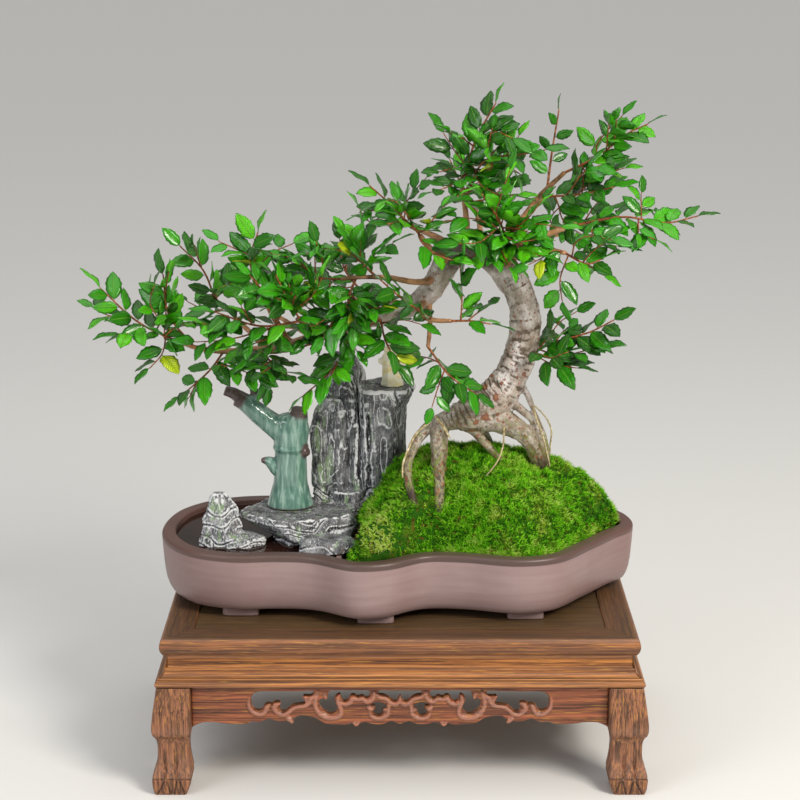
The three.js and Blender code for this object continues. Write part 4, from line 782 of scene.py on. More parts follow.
def make_tree(bark):
    """Trunk, roots and limbs grown into one skin, then pushed out along its normals by lumps, wrinkles round each limb,
    strands along it, pits and knots, and in by folds at the collar and creases on the bends. The marks for its colour
    are what these leave, and clipped ramps of height, of radius and of the distance to feet, knots and the top bend.
    The mark hollow is partly dark bark in the fissures and partly painted shade in the creases, and crook_shade is
    painted shade where the leaves shadow the top bend."""
    parts = [tube(at(route), radii, sides=sides, swell=bark_lumps(size))
             for limbs, sides, size in (([TRUNK], 40, 0.5), (STILT_ROOTS, 28, 0.25), (LIMBS, 18, 0.12))
             for route, radii in limbs]
    mesh = grown_together("elm_tree", parts, BARK_GRAIN, smoothing=3)
    points, normals = read_points(mesh), read_normals(mesh)
    place, radius = limb_places(points, [TRUNK, *STILT_ROOTS, *LIMBS])
    thick = np.clip(radius / 14, 0.08, 1)
    lumps = rough(points, 17, 2, seed=3) * 1.2
    height, seen = points[:, 2], on_sheet(points)
    collar = np.clip(1.2 - np.abs(height - COLLAR_HEIGHT) / 40, 0, 1)
    wrinkles = rough(place, (3.2, 12, 12), 3, seed=11) * (0.5 + 0.7 * collar)
    strands = rough(place, (30, 3.4, 3.4), 2, seed=15) * np.clip((STRAND_HEIGHT - height) / 30, 0.25, 1.4) * 0.7
    pits = -np.clip(rough(place, (4, 6, 6), 2, seed=21) - 0.5, 0, 1) * 2.4
    knots = np.array(KNOTS, float)
    apart = np.linalg.norm(seen[:, None] - knots[None, :, :2], axis=2) / knots[:, 2]
    knot = np.clip(1.3 - apart.min(axis=1) + 0.5 * rough(points, 3.5, 2, seed=25), 0, 1)
    folded = collar * np.clip(rough(points, 18, 2, seed=27) * 1.6 + 0.7, 0, 1)
    folds = sharp_waves(place[:, 0] / 2.4 + 1.8 * rough(place, 16, 2, seed=13), 3.2) * folded
    # Tight creases where the trunk bends over into its left root, and on top of the bend.
    across = seen @ [0.89, 0.45]
    creases = sharp_waves(across / 1.6 + 2.6 * rough(points, 15, 2, seed=31), 2.0)
    on_bend = np.clip(1.6 - oval_distance(seen, CREASED_BENDS), 0, 1)
    creases *= on_bend * np.clip(0.95 + 1.1 * rough(points, 9, 2, seed=33), 0.2, 1.1)
    shift = (lumps + wrinkles + strands + pits) * thick + 0.5 * knot + 0.8 * folds + 1.7 * creases
    write_points(mesh, points + normals * shift[:, None])
    # How deep each point lies in the creases, folds, wrinkles, strands and pits: dark bark in the fissures and painted
    # shade.
    set_mark(mesh, "hollow", np.clip(-(wrinkles + strands + 0.35 * pits + 1.3 * folds + 2.4 * creases) / 0.8, 0, 1))
    set_mark(mesh, "knot", knot)
    set_mark(mesh, "damp", np.clip((DAMP_HEIGHT - height) / 70, 0, 1))
    to_foot = np.min([np.linalg.norm(points - foot, axis=1) for foot in at(ROOT_FEET)], axis=0)
    set_mark(mesh, "foot", np.clip(1.6 - to_foot / 9, 0, 1))
    # Painted shade where the leaves shadow the trunk's top bend.
    set_mark(mesh, "crook_shade", np.clip(1.5 - oval_distance(seen, LEAF_SHADED_CROOK), 0, 1))
    set_mark(mesh, "young", np.clip((9 - radius) / 4, 0, 1) * np.clip((height - YOUNG_HEIGHT) / 20, 0, 1))
    mesh.attributes.new("limb", "FLOAT_VECTOR", "POINT").data.foreach_set("vector", place.astype(np.float32).ravel())
    add_piece("elm_tree_bark", mesh, [bark], ["elm_tree"])


def make_dry_roots(straw):
    """Thin uneven tubes along their routes, all one piece."""
    parts = [tube(at(route), radii, sides=8, step=1.5, swell=bark_lumps(0.12)) for route, radii in DRY_ROOTS]
    add_piece("dry_roots", mesh_of("dry_roots", parts), [straw])


# Foliage

LEAF_LENGTH = 27.0
LEAF_WIDTH_SHARE = 0.53
TWIG_RADIUS = 1.3
TWIG_TIP_RADIUS = 0.7

# Each spray is a main shoot and side shoots: a route of [u, v, y], a number of leaves, the share of the main shoot
# where a side shoot starts, and the size of its leaves where that isn't 1.
SPRAYS = {
    "far_left": [([[-224, 59, -19], [-262, 78, -22], [-300, 112, -24]], 10),
                 ([[-266, 68, -30], [-280, 66, -36]], 4, 0.42), ([[-238, 46, -40], [-250, 32, -52]], 5, 0.12)],
    "left_upright": [([[-206, 53, -15], [-231, 85, -20], [-237, 126, -24]], 9)],
    "left_tall": [([[-165, 83, 25], [-183, 100, 22], [-197, 130, 18], [-220, 154, 18]], 9),
                  ([[-190, 88, 48], [-212, 98, 62]], 5, 0.15)],
    "left_hanging": [([[-176, 49, -9], [-190, 30, -20], [-220, 3, -26]], 6),
                     ([[-160, 30, -28], [-142, 24, -36]], 5, 0.2)],
    "left_front": [([[-98, 79, -55], [-140, 74, -62], [-185, 88, -66]], 8)],
    "left_peak": [([[-142, 112, -18], [-150, 140, -20], [-142, 168, -18]], 8),
                  ([[-126, 148, -8], [-108, 156, 0]], 4, 0.3)],
    "left_back": [([[-123, 84, 60], [-140, 110, 72], [-150, 140, 76]], 7), ([[-100, 92, 84], [-82, 106, 96]], 5, 0.2)],
    "left_under": [([[-140, 50, -2], [-118, 28, -28], [-104, 22, -36]], 7)],
    "left_inner": [([[-99, 79, -57], [-112, 100, -68], [-124, 124, -72]], 7)],
    "mid_long": [([[-59, 121, -36], [-90, 121, -38], [-114, 121, -38]], 7),
                 ([[-78, 142, -46], [-84, 158, -50]], 4, 0.35)],
    "mid_up": [([[-24, 123, -38], [-42, 142, -44], [-56, 166, -48]], 8)],
    "mid_hang": [([[-44, 122, -38], [-52, 98, -52], [-48, 74, -60]], 7)],
    "mid_low": [([[-60, 72, 1], [-72, 84, -24], [-92, 92, -34]], 7)],
    "mid_tail": [([[-45, 66, -13], [-68, 30, -26], [-97, 4, -32]], 8)],
    "mid_under": [([[-20, 83, -3], [-14, 58, -28], [-2, 36, -36]], 8)],
    "inner_tail": [([[28, 53, -18], [50, 24, -24], [76, 6, -28]], 9)],
    "inner_side": [([[51, 79, -45], [72, 79, -48], [90, 76, -50]], 4), ([[62, 104, -54], [60, 136, -56]], 6, 0.25)],
    "young_shoot": [([[31, 81, -37], [0, 103, -58], [-28, 128, -66]], 8, 0, 1.2)],
    "back_up": [([[11, 173, 57], [-8, 194, 56], [-30, 214, 54]], 6)],
    "mid_back": [([[-39, 109, 57], [-56, 132, 72], [-60, 160, 80]], 7)],
    "front_top": [([[21, 164, -44], [6, 178, -62], [-12, 176, -74]], 8)],
    "leader": [([[62, 213, 20], [76, 261, 20], [96, 297, 18]], 11), ([[54, 250, 28], [44, 266, 30]], 5, 0.22)],
    "top_cross": [([[64, 196, 17], [84, 238, 4], [124, 246, -4], [145, 250, -6]], 9)],
    "top_fine": [([[147, 210, 30], [152, 248, 36], [159, 290, 38]], 6, 0, 0.7)],
    "right_high": [([[164, 227, 25], [200, 245, 22], [225, 265, 16], [248, 276, 12]], 11)],
    "right_mid": [([[140, 203, 30], [182, 206, 14], [214, 213, 2]], 8)],
    "right_far": [([[176, 175, -8], [224, 183, -14], [266, 177, -16], [298, 184, -16]], 12),
                  ([[246, 165, -26], [254, 161, -30]], 3, 0.55), ([[196, 158, -30], [216, 154, -38]], 5, 0.12)],
    "right_low": [([[165, 147, -44], [187, 136, -50], [200, 140, -54]], 5),
                  ([[160, 120, -58], [162, 100, -60]], 5, 0.1)],
    "top_front": [([[108, 149, 4], [100, 178, -34], [82, 206, -52]], 9), ([[130, 184, -46], [142, 200, -54]], 6, 0.3)],
    "top_back": [([[76, 188, 79], [62, 214, 92], [50, 240, 94]], 7), ([[98, 208, 84], [116, 236, 80]], 6, 0.15)],
    "right_back": [([[158, 165, 74], [186, 180, 84], [210, 190, 84]], 7)],
    "trunk_shoot": [([[124, 40, 7], [150, 56, -2], [190, 68, -8], [214, 80, -12]], 11),
                    ([[152, 36, -16], [176, 32, -24]], 6, 0.12)],
}
# Shoots that fill a spray out, as the ones above: a route, its leaves and where it starts on the main shoot.
EXTRA_SHOOTS = {
    "far_left": [([[-236, 62, -36], [-222, 74, -46], [-204, 78, -52]], 7, 0.05),
                 ([[-240, 78, -26], [-250, 96, -30], [-246, 114, -32]], 6, 0.25),
                 ([[-270, 84, -18], [-290, 84, -14], [-306, 92, -12]], 5, 0.55)],
    "left_tall": [([[-186, 100, 28], [-170, 116, 34], [-160, 132, 38]], 6, 0.3)],
    "left_front": [([[-150, 66, -64], [-176, 60, -66], [-204, 58, -64]], 8, 0.45),
                   ([[-120, 66, -62], [-134, 52, -66], [-150, 42, -68]], 7, 0.25),
                   ([[-160, 82, -66], [-176, 74, -70], [-196, 76, -72]], 7, 0.7),
                   ([[-120, 86, -62], [-136, 98, -66], [-156, 108, -66]], 7, 0.3),
                   ([[-130, 64, -62], [-148, 56, -64], [-166, 54, -66]], 6, 0.4)],
    "left_inner": [([[-104, 90, -64], [-88, 104, -68], [-78, 122, -70]], 7, 0.2),
                   ([[-110, 96, -72], [-134, 108, -76], [-150, 124, -78]], 7, 0.5),
                   ([[-104, 80, -66], [-88, 74, -72], [-76, 80, -76]], 6, 0.1)],
    "mid_up": [([[-38, 132, -48], [-20, 150, -56], [-8, 156, -60]], 7, 0.3),
               ([[-50, 146, -50], [-72, 152, -54], [-92, 146, -56]], 7, 0.5)],
    "mid_low": [([[-60, 74, -18], [-50, 62, -28], [-44, 50, -34]], 7, 0.1),
                ([[-74, 66, -26], [-88, 56, -32], [-104, 54, -36]], 7, 0.4),
                ([[-60, 82, -18], [-44, 96, -30], [-26, 104, -38]], 7, 0.2),
                ([[-80, 80, -28], [-98, 72, -34], [-116, 72, -38]], 7, 0.5)],
    "mid_long": [([[-90, 112, -44], [-104, 100, -50], [-122, 96, -52]], 6, 0.5),
                 ([[-70, 112, -46], [-60, 98, -54], [-44, 88, -58]], 7, 0.2),
                 ([[-92, 130, -44], [-110, 142, -50], [-128, 146, -52]], 7, 0.55)],
    "mid_hang": [([[-50, 96, -54], [-38, 84, -58], [-24, 86, -62]], 6, 0.35),
                 ([[-44, 100, -54], [-28, 92, -60], [-10, 94, -62]], 7, 0.4),
                 ([[-52, 90, -56], [-66, 78, -62], [-76, 64, -64]], 7, 0.5)],
    "mid_under": [([[-12, 78, -18], [4, 80, -30], [20, 76, -36]], 6, 0.15),
                  ([[-24, 80, -20], [-30, 92, -32], [-16, 100, -40]], 6, 0.1)],
    "left_under": [([[-124, 42, -18], [-138, 34, -26], [-152, 30, -30]], 6, 0.4)],
    "mid_back": [([[-50, 112, 64], [-72, 120, 66], [-92, 128, 66]], 7, 0.2)],
    "back_up": [([[0, 180, 50], [8, 200, 46], [26, 222, 44]], 7, 0.2),
                ([[-14, 186, 52], [-30, 178, 48], [-40, 190, 44]], 6, 0.3)],
    "front_top": [([[26, 172, -58], [40, 190, -66], [58, 204, -68]], 8, 0.2),
                  ([[8, 184, -66], [-8, 200, -70], [-22, 196, -70]], 6, 0.3),
                  ([[20, 160, -56], [34, 146, -62], [52, 140, -66]], 6, 0.1)],
    "leader": [([[72, 234, 14], [80, 216, -6], [94, 204, -20]], 8, 0.15),
               ([[66, 226, 8], [50, 214, -12], [32, 208, -24]], 8, 0.1),
               ([[80, 262, 14], [96, 268, 0], [112, 262, -8]], 7, 0.55),
               ([[70, 224, 26], [58, 232, 10], [40, 228, -8]], 7, 0.1),
               ([[84, 240, 30], [104, 236, 40], [120, 226, 50]], 7, 0.2)],
    "top_cross": [([[80, 214, 0], [96, 206, -14], [116, 204, -24]], 8, 0.12),
                  ([[92, 232, -6], [88, 252, -16], [92, 270, -22]], 6, 0.35)],
    "top_front": [([[96, 170, -36], [80, 158, -52], [60, 156, -60]], 7, 0.3),
                  ([[112, 160, -28], [126, 150, -46], [140, 144, -54]], 8, 0.12),
                  ([[102, 166, -36], [116, 158, -54], [134, 160, -62]], 8, 0.2),
                  ([[98, 158, -22], [84, 149, -42], [70, 142, -52]], 8, 0.1),
                  ([[100, 156, -26], [104, 144, -46], [110, 134, -56]], 6, 0.08),
                  ([[90, 176, -44], [66, 182, -56], [44, 178, -62]], 7, 0.35),
                  ([[112, 168, -30], [136, 176, -44], [160, 172, -52]], 8, 0.15),
                  ([[96, 186, -50], [104, 212, -58], [110, 230, -60]], 6, 0.5)],
    "top_back": [([[88, 200, 84], [104, 192, 90], [124, 196, 92]], 7, 0.2)],
    "right_high": [([[184, 230, 20], [204, 226, 10], [224, 232, 4]], 6, 0.2),
                   ([[196, 252, 26], [206, 268, 28], [222, 284, 28]], 6, 0.4)],
    "right_mid": [([[158, 196, 24], [164, 178, 14], [184, 164, 6]], 7, 0.2),
                  ([[172, 212, 14], [184, 228, 8], [204, 236, 4]], 7, 0.35)],
    "trunk_shoot": [([[148, 62, -10], [160, 78, -16], [176, 88, -20]], 6, 0.15),
                    ([[160, 44, -6], [180, 48, -12], [202, 54, -18]], 7, 0.2),
                    ([[140, 46, -12], [150, 42, -22], [168, 48, -30]], 6, 0.08)],
    "mid_tail": [([[-56, 56, -22], [-50, 60, -34], [-44, 72, -38]], 6, 0.15)],
    "right_low": [([[156, 150, -46], [142, 142, -52], [130, 136, -56]], 7, 0.1),
                  ([[176, 158, -50], [192, 164, -56], [210, 160, -60]], 6, 0.2)],
    "right_back": [([[150, 180, 66], [164, 196, 70], [186, 204, 72]], 7, 0.1)],
}
# Sprays that get more or fewer than two of the short shoots drawn by seed, after the dense and open places.
FILL_SHOOTS = {"left_front": 3, "left_inner": 3, "left_peak": 3, "top_fine": 0, "right_far": 3, "trunk_shoot": 2,
               "inner_side": 1, "young_shoot": 0, "mid_under": 0}


def turned(vectors, axis, angle):
    """Vectors turned about a unit axis by an angle (Rodrigues' rule)."""
    return (vectors * np.cos(angle) + np.cross(axis, vectors) * np.sin(angle)
            + axis * (axis @ vectors) * (1 - np.cos(angle)))


def unit(vector):
    """A vector over its own length."""
    return vector / np.linalg.norm(vector)


def leaf_places(route, count, size, draw):
    """Two ranks of leaves along a shoot and one at its tip: for each its place, its direction, its upper side's
    direction and its length."""
    roll = (next(draw) - 0.5) * 1.2
    shares = [0.985 if i == count - 1 else 0.2 + 0.76 * i / (count - 1) for i in range(count)]
    places, headings = place_and_heading(route, shares)
    leaves = []
    for i, (place, tangent) in enumerate(zip(places, headings)):
        last = i == count - 1
        up = np.array([next(draw) * 0.8 - 0.4, -0.5 + next(draw) * 0.5, 0.7 + next(draw) * 0.3])
        side = unit(np.cross(tangent, up))
        normal = turned(np.cross(side, tangent), tangent, roll)
        side = turned(side, tangent, roll)
        spread = (next(draw) - 0.5) * 0.4 if last else (1 if i % 2 else -1) * (0.7 + next(draw) * 0.45)
        along = unit(tangent * np.cos(spread) + side * np.sin(spread) + normal * 0.35 * (next(draw) - 0.4))
        flat = unit(normal - along * (normal @ along))
        tilted = turned(flat, along, (next(draw) - 0.5) * 0.9)
        length = LEAF_LENGTH * size * (0.82 + 0.36 * next(draw)) * (0.85 if last else 1)
        leaves.append((place, along, tilted, length))
    return leaves


# A leaf's outline: shares of its length with the half width there, every other point a tooth.
LEAF_STATIONS = np.array([0.0, 0.06, 0.17, 0.29, 0.41, 0.52, 0.63, 0.73, 0.82, 0.9, 1.0])
LEAF_HALF_WIDTHS = np.array([0.03, 0.42, 0.74, 0.99, 0.91, 1.02, 0.84, 0.8, 0.51, 0.36, 0.0]) * 0.5
PETIOLE = 2.4  # mm of stalk between twig and blade


def leaf_parts(leaves, ages, material):
    """Leaves as closed thin blades: at each station edge, middle, midrib, middle and edge above and the midrib below. A
    blade is folded up from its midrib, arched down by the square of the share and waved at its edge by a sine."""
    place, along, normal, length = (np.array(column) for column in zip(*leaves))
    side = np.cross(normal, along)
    share = LEAF_STATIONS[None, :, None]
    half = (LEAF_HALF_WIDTHS * LEAF_WIDTH_SHARE)[None, :, None]
    across = np.array([-1.0, -0.5, 0.0, 0.5, 1.0, 0.0])[None, None, :]
    thickness = np.array([0.0, 0.5, 0.35, 0.5, 0.0, -0.45])[None, None, :] * 0.8
    wave = np.sin(share * 9 + ages[:, None, None] * 23) * 0.03
    size = length[:, None, None]
    out = across * half * size
    rise = 0.22 * np.abs(out) + (0.02 - 0.11 * share**2 + wave * across**2) * size + thickness * (share < 0.999)
    reach = share * size + PETIOLE
    points = (place[:, None, None] + along[:, None, None] * reach[..., None]
              + side[:, None, None] * out[..., None] + normal[:, None, None] * rise[..., None])
    count = points.shape[1] * 6
    strips = [[(row + a, row + b, row + b + 6, row + a + 6) for row in range(0, count - 6, 6) for a, b in sides]
              for sides in (((0, 1), (1, 2), (2, 3), (3, 4)), ((5, 0), (4, 5)))]
    ends = [(0, 5, 4, 2), (count - 6, count - 4, count - 2, count - 1)]
    one = np.vstack([*strips, ends])
    faces = (np.arange(len(leaves))[:, None, None] * count + one).reshape(-1, 4)
    shape = points.shape[:3]
    return part(points.reshape(-1, 3), faces, material=material,
                rib=np.broadcast_to(share, shape).ravel(), blade=np.broadcast_to(np.abs(across), shape).ravel(),
                age=np.broadcast_to(ages[:, None, None], shape).ravel())


def petiole_parts(leaves, material):
    """The stalk of each leaf: a three-sided prism from the twig into the blade's base."""
    place, along, normal, length = (np.array(column) for column in zip(*leaves))
    side = np.cross(normal, along)
    angle = np.arange(3) / 3 * TAU
    ring = side[:, None] * np.cos(angle)[None, :, None] + normal[:, None] * np.sin(angle)[None, :, None]
    start = place[:, None] + ring * 0.55
    end = (place + along * (PETIOLE + 1.4) + normal * 0.02 * length[:, None])[:, None] + ring * 0.4
    points = np.concatenate([start, end], axis=1)
    walls = np.array([[0, 3, 4, 1], [1, 4, 5, 2], [2, 5, 3, 0]])
    ends = np.array([[0, 1, 2], [3, 5, 4]])
    step = np.arange(len(leaves))[:, None, None] * 6
    return part(points.reshape(-1, 3), (step + walls).reshape(-1, 4), (step + ends).reshape(-1, 3), material=material)


def fill_routes(main, draw, count):
    """Short extra side shoots off the main one, each turned out and up from it by seeded draws."""
    routes = []
    for _ in range(count):
        start_share = 0.12 + 0.6 * next(draw)
        places, headings = place_and_heading(main, [start_share])
        turn = unit(np.array([next(draw) - 0.5, next(draw) - 0.5, next(draw) - 0.35]))
        direction = unit(headings[0] * 0.55 + turn)
        reach = 20 + 16 * next(draw)
        bend = np.array([0.0, 0.0, -4.0 * next(draw)])
        routes.append(np.array([places[0], places[0] + direction * reach * 0.5, places[0] + direction * reach + bend]))
    return routes


def side_route(main, route, start):
    """A side shoot's route: from a share of the main one's length through its own places."""
    return np.vstack([curve_place(main, even_shares(main, [start])), at(route)])


def make_spray(name, shoots, seed, leaf, twig):
    """A spray of leaves on its twigs: the drawn shoots, then the added and the seeded ones. A leaf's age is a seeded
    draw raised to 1.5, and one in seventy is old and yellow."""
    draw = draws(seed)
    main = at(shoots[0][0])
    parts, leaves = [], []
    for k, (route, count, *more) in enumerate(shoots):
        start, size = (*more, *(0, 1)[len(more):])
        path = side_route(main, route, start) if k else main
        leaves += leaf_places(path, count, size, draw)
        radii = [TWIG_TIP_RADIUS * 1.2, TWIG_TIP_RADIUS * 0.8] if k else [TWIG_RADIUS, TWIG_TIP_RADIUS]
        parts.append(tube(path, radii, sides=6, step=4, material=1))
    fill = draws(seed + 5)
    extra = [(side_route(main, route, start), count, 0.92) for route, count, start in EXTRA_SHOOTS.get(name, [])]
    extra += [(path, 4, 0.8) for path in fill_routes(main, fill, FILL_SHOOTS.get(name, 2))]
    for path, count, size in extra:
        leaves += leaf_places(path, count, size, fill)
        parts.append(tube(path, [0.9, 0.5], sides=5, step=5, material=1))
    shade = np.array([next(fill) for _ in leaves])
    ages = np.where(shade > 0.985, 1.0, np.clip(0.14 + 0.2 * next(fill) + 0.6 * shade**1.5, 0, 0.8))
    parts += [leaf_parts(leaves, ages, 0), petiole_parts(leaves, 1)]
    add_piece(f"foliage_{name}", mesh_of(f"foliage_{name}", parts), [leaf, twig], [f"spray_{name}"])


def make_foliage(leaf, twig):
    """All sprays, each with its own seed."""
    for k, (name, shoots) in enumerate(SPRAYS.items()):
        make_spray(name, shoots, 101 + 37 * k, leaf, twig)


# The tray, the pool and the planted mound

TRAY_OUTLINE = np.array([
    [-242, 5], [-233, -35], [-206, -70], [-162, -87], [-122, -85], [-88, -89], [-45, -113], [-12, -109], [26, -86],
    [62, -87], [115, -99], [155, -88], [190, -48], [216, -14], [238, 14], [234, 52], [204, 90], [158, 104],
    [110, 100], [60, 106], [8, 115], [-42, 108], [-88, 104], [-140, 115], [-192, 103], [-229, 66],
], float)
STAND_TOP = 158.0
TRAY_BOTTOM = 164.0
TRAY_FLOOR = 172.0
TRAY_RIM = 225.0
RIM_WIDTH = 14.0
WATER_LEVEL = 219.0
TRAY_FEET = [(-158, -60), (-24, -82), (124, -70), (150, 76), (4, 86), (-150, 86)]
PARTITION = np.array([[-60, -110], [-60, -14], [-90, 28], [-106, 112]], float)
WALL_ENDS = (-95.0, 99.0)  # the depths at which the partition meets the tray's wall
TRAY_STEPS = 260  # points round the tray's outline
MOSS_CENTRE = np.array([75.0, 8.0])
MOSS_RISE = 85.0


def tray_rings(profile, steps=TRAY_STEPS):
    """The tray's closed outline drawn in by each profile point's inset, at its height."""
    shares = np.arange(steps) / steps
    flat = curve_place(TRAY_OUTLINE, shares, closed=True)
    heading = (curve_place(TRAY_OUTLINE, (shares + NUDGE) % 1, closed=True)
               - curve_place(TRAY_OUTLINE, (shares - NUDGE) % 1, closed=True))
    heading /= np.linalg.norm(heading, axis=1)[:, None]
    inward = np.stack([-heading[:, 1], heading[:, 0]], axis=1)
    return np.array([np.column_stack([flat + inward * inset, np.full(steps, z)]) for inset, z in profile])


def arc(centre, radius, start, end, count=7):
    """Points of a round corner in a profile, from one angle in degrees to another."""
    angle = np.radians(np.linspace(start, end, count))
    return [(centre[0] + radius * np.cos(a), centre[1] + radius * np.sin(a)) for a in angle]


def rounded_block(x, y, low, high, half_x, half_y, edge=1.2, around=36):
    """A block whose plan corners and top and bottom edges are rounded: a superellipse ring at each height."""
    angle = (np.arange(around) + 0.5) / around * TAU
    cosine, sine = np.cos(angle), np.sin(angle)
    reach = (np.abs(cosine)**8 + np.abs(sine)**8) ** (-1 / 8)
    heights = [(low, edge), (low + 0.35 * edge, 0.35 * edge), (low + edge, 0), (high - edge, 0),
               (high - 0.35 * edge, 0.35 * edge), (high, edge)]
    return loft([np.column_stack([x + cosine * reach * (half_x - inset), y + sine * reach * (half_y - inset),
                                  np.full(around, z)]) for z, inset in heights])


def make_tray(clay):
    """The lobed tray: one profile from the underside round the belly and the rounded rim to the floor, on six feet. The
    low wall between pool and soil is made with the pool."""
    outer = [(22, TRAY_BOTTOM), (15, 164.6), (10, 166.6), (8, 168.2), (5.5, 173), (3.6, 179), (2.2, 188), (1.2, 200),
             (0.5, 210), (0.1, 218), (0.05, 218.8), (0, 221)]
    rim = arc((3.2, 221.8), 3.2, 180, 90, 6) + [(8, 225.0)] + arc((11.8, 222.8), 2.2, 90, 0, 5)
    hollow = [(RIM_WIDTH, 210), (RIM_WIDTH, 190), (RIM_WIDTH, 182), (16.5, 176), (22, TRAY_FLOOR)]
    profile = outer + rim + hollow
    darker = [0.0] * (len(outer) - 2) + [0.9] * (len(profile) - len(outer) + 2)
    parts = [loft(tray_rings(profile), rim=np.concatenate([np.repeat(darker, TRAY_STEPS), [0, 0.85]]))]
    base = STAND_TOP - 1.2
    parts += [rounded_block(x, y, base, TRAY_BOTTOM + 2, 18, 10) for x, y in TRAY_FEET]
    add_piece("tray_body", mesh_of("tray_body", parts), [clay], ["tray"], crease=50)


def partition_sides(half):
    """The partition's two long sides seen from above: its line moved left and right by half its thickness."""
    heading = np.gradient(PARTITION, axis=0)
    heading /= np.linalg.norm(heading, axis=1)[:, None]
    left = np.stack([-heading[:, 1], heading[:, 0]], axis=1)
    return PARTITION - left * half, PARTITION + left * half


def wall_cut(outline, line, keep_left):
    """The part of a closed outline on one side of a line across it, closed along the line."""
    shares = np.linspace(0, 1, 60)
    fine = np.stack([np.interp(shares * (len(line) - 1), np.arange(len(line)), line[:, k]) for k in (0, 1)], axis=1)
    border = np.interp(outline[:, 1], fine[:, 1], fine[:, 0])
    kept = outline[:, 0] < border if keep_left else outline[:, 0] > border
    start = np.flatnonzero(kept & ~np.roll(kept, 1))[0]
    ring = np.roll(outline, -start, axis=0)[:kept.sum()]
    inside = fine[(fine[:, 1] > min(ring[0, 1], ring[-1, 1])) & (fine[:, 1] < max(ring[0, 1], ring[-1, 1]))]
    if inside[0, 1] > inside[-1, 1]:
        inside = inside[::-1]
    back = inside if abs(ring[-1, 1] - inside[0, 1]) < abs(ring[-1, 1] - inside[-1, 1]) else inside[::-1]
    return np.vstack([ring, back])


def make_pool(water, clay):
    """The water, a prism of the pool's outline as far as the partition, and the partition, a profile with two rounded
    edges carried along its line."""
    outline = tray_rings([(RIM_WIDTH + 0.05, WATER_LEVEL)])[0][:, :2]
    near, far = partition_sides(3.05)
    pool = wall_cut(outline, far if far[0, 0] < near[0, 0] else near, keep_left=True)
    count = len(pool)
    points = np.vstack([np.column_stack([pool, np.full(count, z)]) for z in (TRAY_FLOOR + 0.3, WATER_LEVEL)])
    ring = np.arange(count)
    walls = np.stack([ring, np.roll(ring, -1), np.roll(ring, -1) + count, ring + count], axis=1)
    prism = part(points, walls, ring[None, ::-1], (ring + count)[None])
    add_piece("pool_surface", mesh_of("pool_surface", [prism]), [water], ["water"], crease=30)
    near, far = partition_sides(3.0)
    middle = (near + far) / 2
    first, last = np.interp(WALL_ENDS, PARTITION[:, 1], [0, 1, 2, 3])
    profile = [(-3, TRAY_FLOOR - 1), (-3, 219.5), *arc((-1.6, 219.6), 1.4, 180, 90, 4),
               *arc((1.6, 219.6), 1.4, 90, 0, 4), (3, 219.5), (3, TRAY_FLOOR - 1)]
    across = (near - middle) / 3
    spots = np.linspace(first, last, 40)
    spine, lean = (np.stack([np.interp(spots, np.arange(4), line[:, k]) for k in (0, 1)], axis=1)
                   for line in (middle, across))
    wall = loft([[[*(spot + side * offset), z] for offset, z in profile] for spot, side in zip(spine, lean)])
    add_piece("pool_wall", mesh_of("pool_wall", [wall]), [clay], crease=40)


# Moss and soil

TUFT_COUNT = 19000
TUFT_SPIKES = 6
TUFT_PIECES = 3
EDGE_TUFTS = 0.17  # the share of the tufts that fringe the mound's edge
# Moss cushions: seeded middles on the plan, which the moss swells round and sinks between.
CUSHION_MIDDLES = np.random.default_rng(19).uniform([-70, -115], [215, 115], (95, 2))


def moss_reach(angles):
    """How far the planted side reaches from MOSS_CENTRE at each angle: the nearest crossing of the ray with the tray's
    inner wall or with the partition, less a margin."""
    wall = tray_rings([(RIM_WIDTH, 0)], steps=200)[0][:, :2]
    line = PARTITION + np.array([6.5, 0])
    starts = np.vstack([wall, line[:-1]])
    ends = np.vstack([np.roll(wall, -1, axis=0), line[1:]])
    direction = np.stack([np.cos(angles), np.sin(angles)], axis=1)
    edge, offset = ends - starts, starts - MOSS_CENTRE

    def crossed(a, b):
        """The upright part of the cross product of flat vectors."""
        return a[..., 0] * b[..., 1] - a[..., 1] * b[..., 0]

    across = crossed(direction[:, None], edge[None])
    distance = crossed(offset, edge)[None] / across
    along = crossed(offset[None], direction[:, None]) / across
    distance[(distance <= 0) | (along < 0) | (along > 1)] = np.inf
    return distance.min(axis=1) - 4


def mound_height(share, angle, x, y):
    """A dome that is less steep at the front, with cushions as a product of sines that fade to the edge."""
    front, back = np.maximum(0, -np.sin(angle)), np.maximum(0, np.sin(angle))
    dome = np.maximum(0, 1 - share ** (2 - 0.5 * back - 0.2 * front)) ** (0.6 + 0.5 * front)
    cushions = 3 * np.sin(x / 13 + 1) * np.sin(y / 11 + 0.4) * (1 - share)
    return TRAY_RIM - 3 + MOSS_RISE * dome + cushions


def in_bay(x, y):
    """1 where the rockery fills the moss, falling to 0 over 3 mm outside the bay's outline."""
    border = np.interp(y, [-95, -80, -73, -60, -20, -4, 14, 22, 50, 78, 88, 94],
                       [-54, -50, -38, -38, -42, -24, -10, 8, 14, 8, -16, -135])
    return np.clip((border - x) / 3 + 1, 0, 1)


def pale_cushion(x, y):
    """1 on the pale cushion at the front left, falling to 0 over its edge: an oval measure from its middle."""
    return np.clip(2 - 2 * np.hypot((x + 21) / 22, (y + 87) / 15), 0, 1)


def cushion_depth(points):
    """0 in the grooves between moss cushions, 1 on them: the nearest two middles' difference in distance, eased."""
    apart = np.sort(np.linalg.norm(points[:, None, :2] - CUSHION_MIDDLES, axis=2), axis=1)
    return np.clip((apart[:, 1] - apart[:, 0]) / 7, 0, 1) ** 0.6


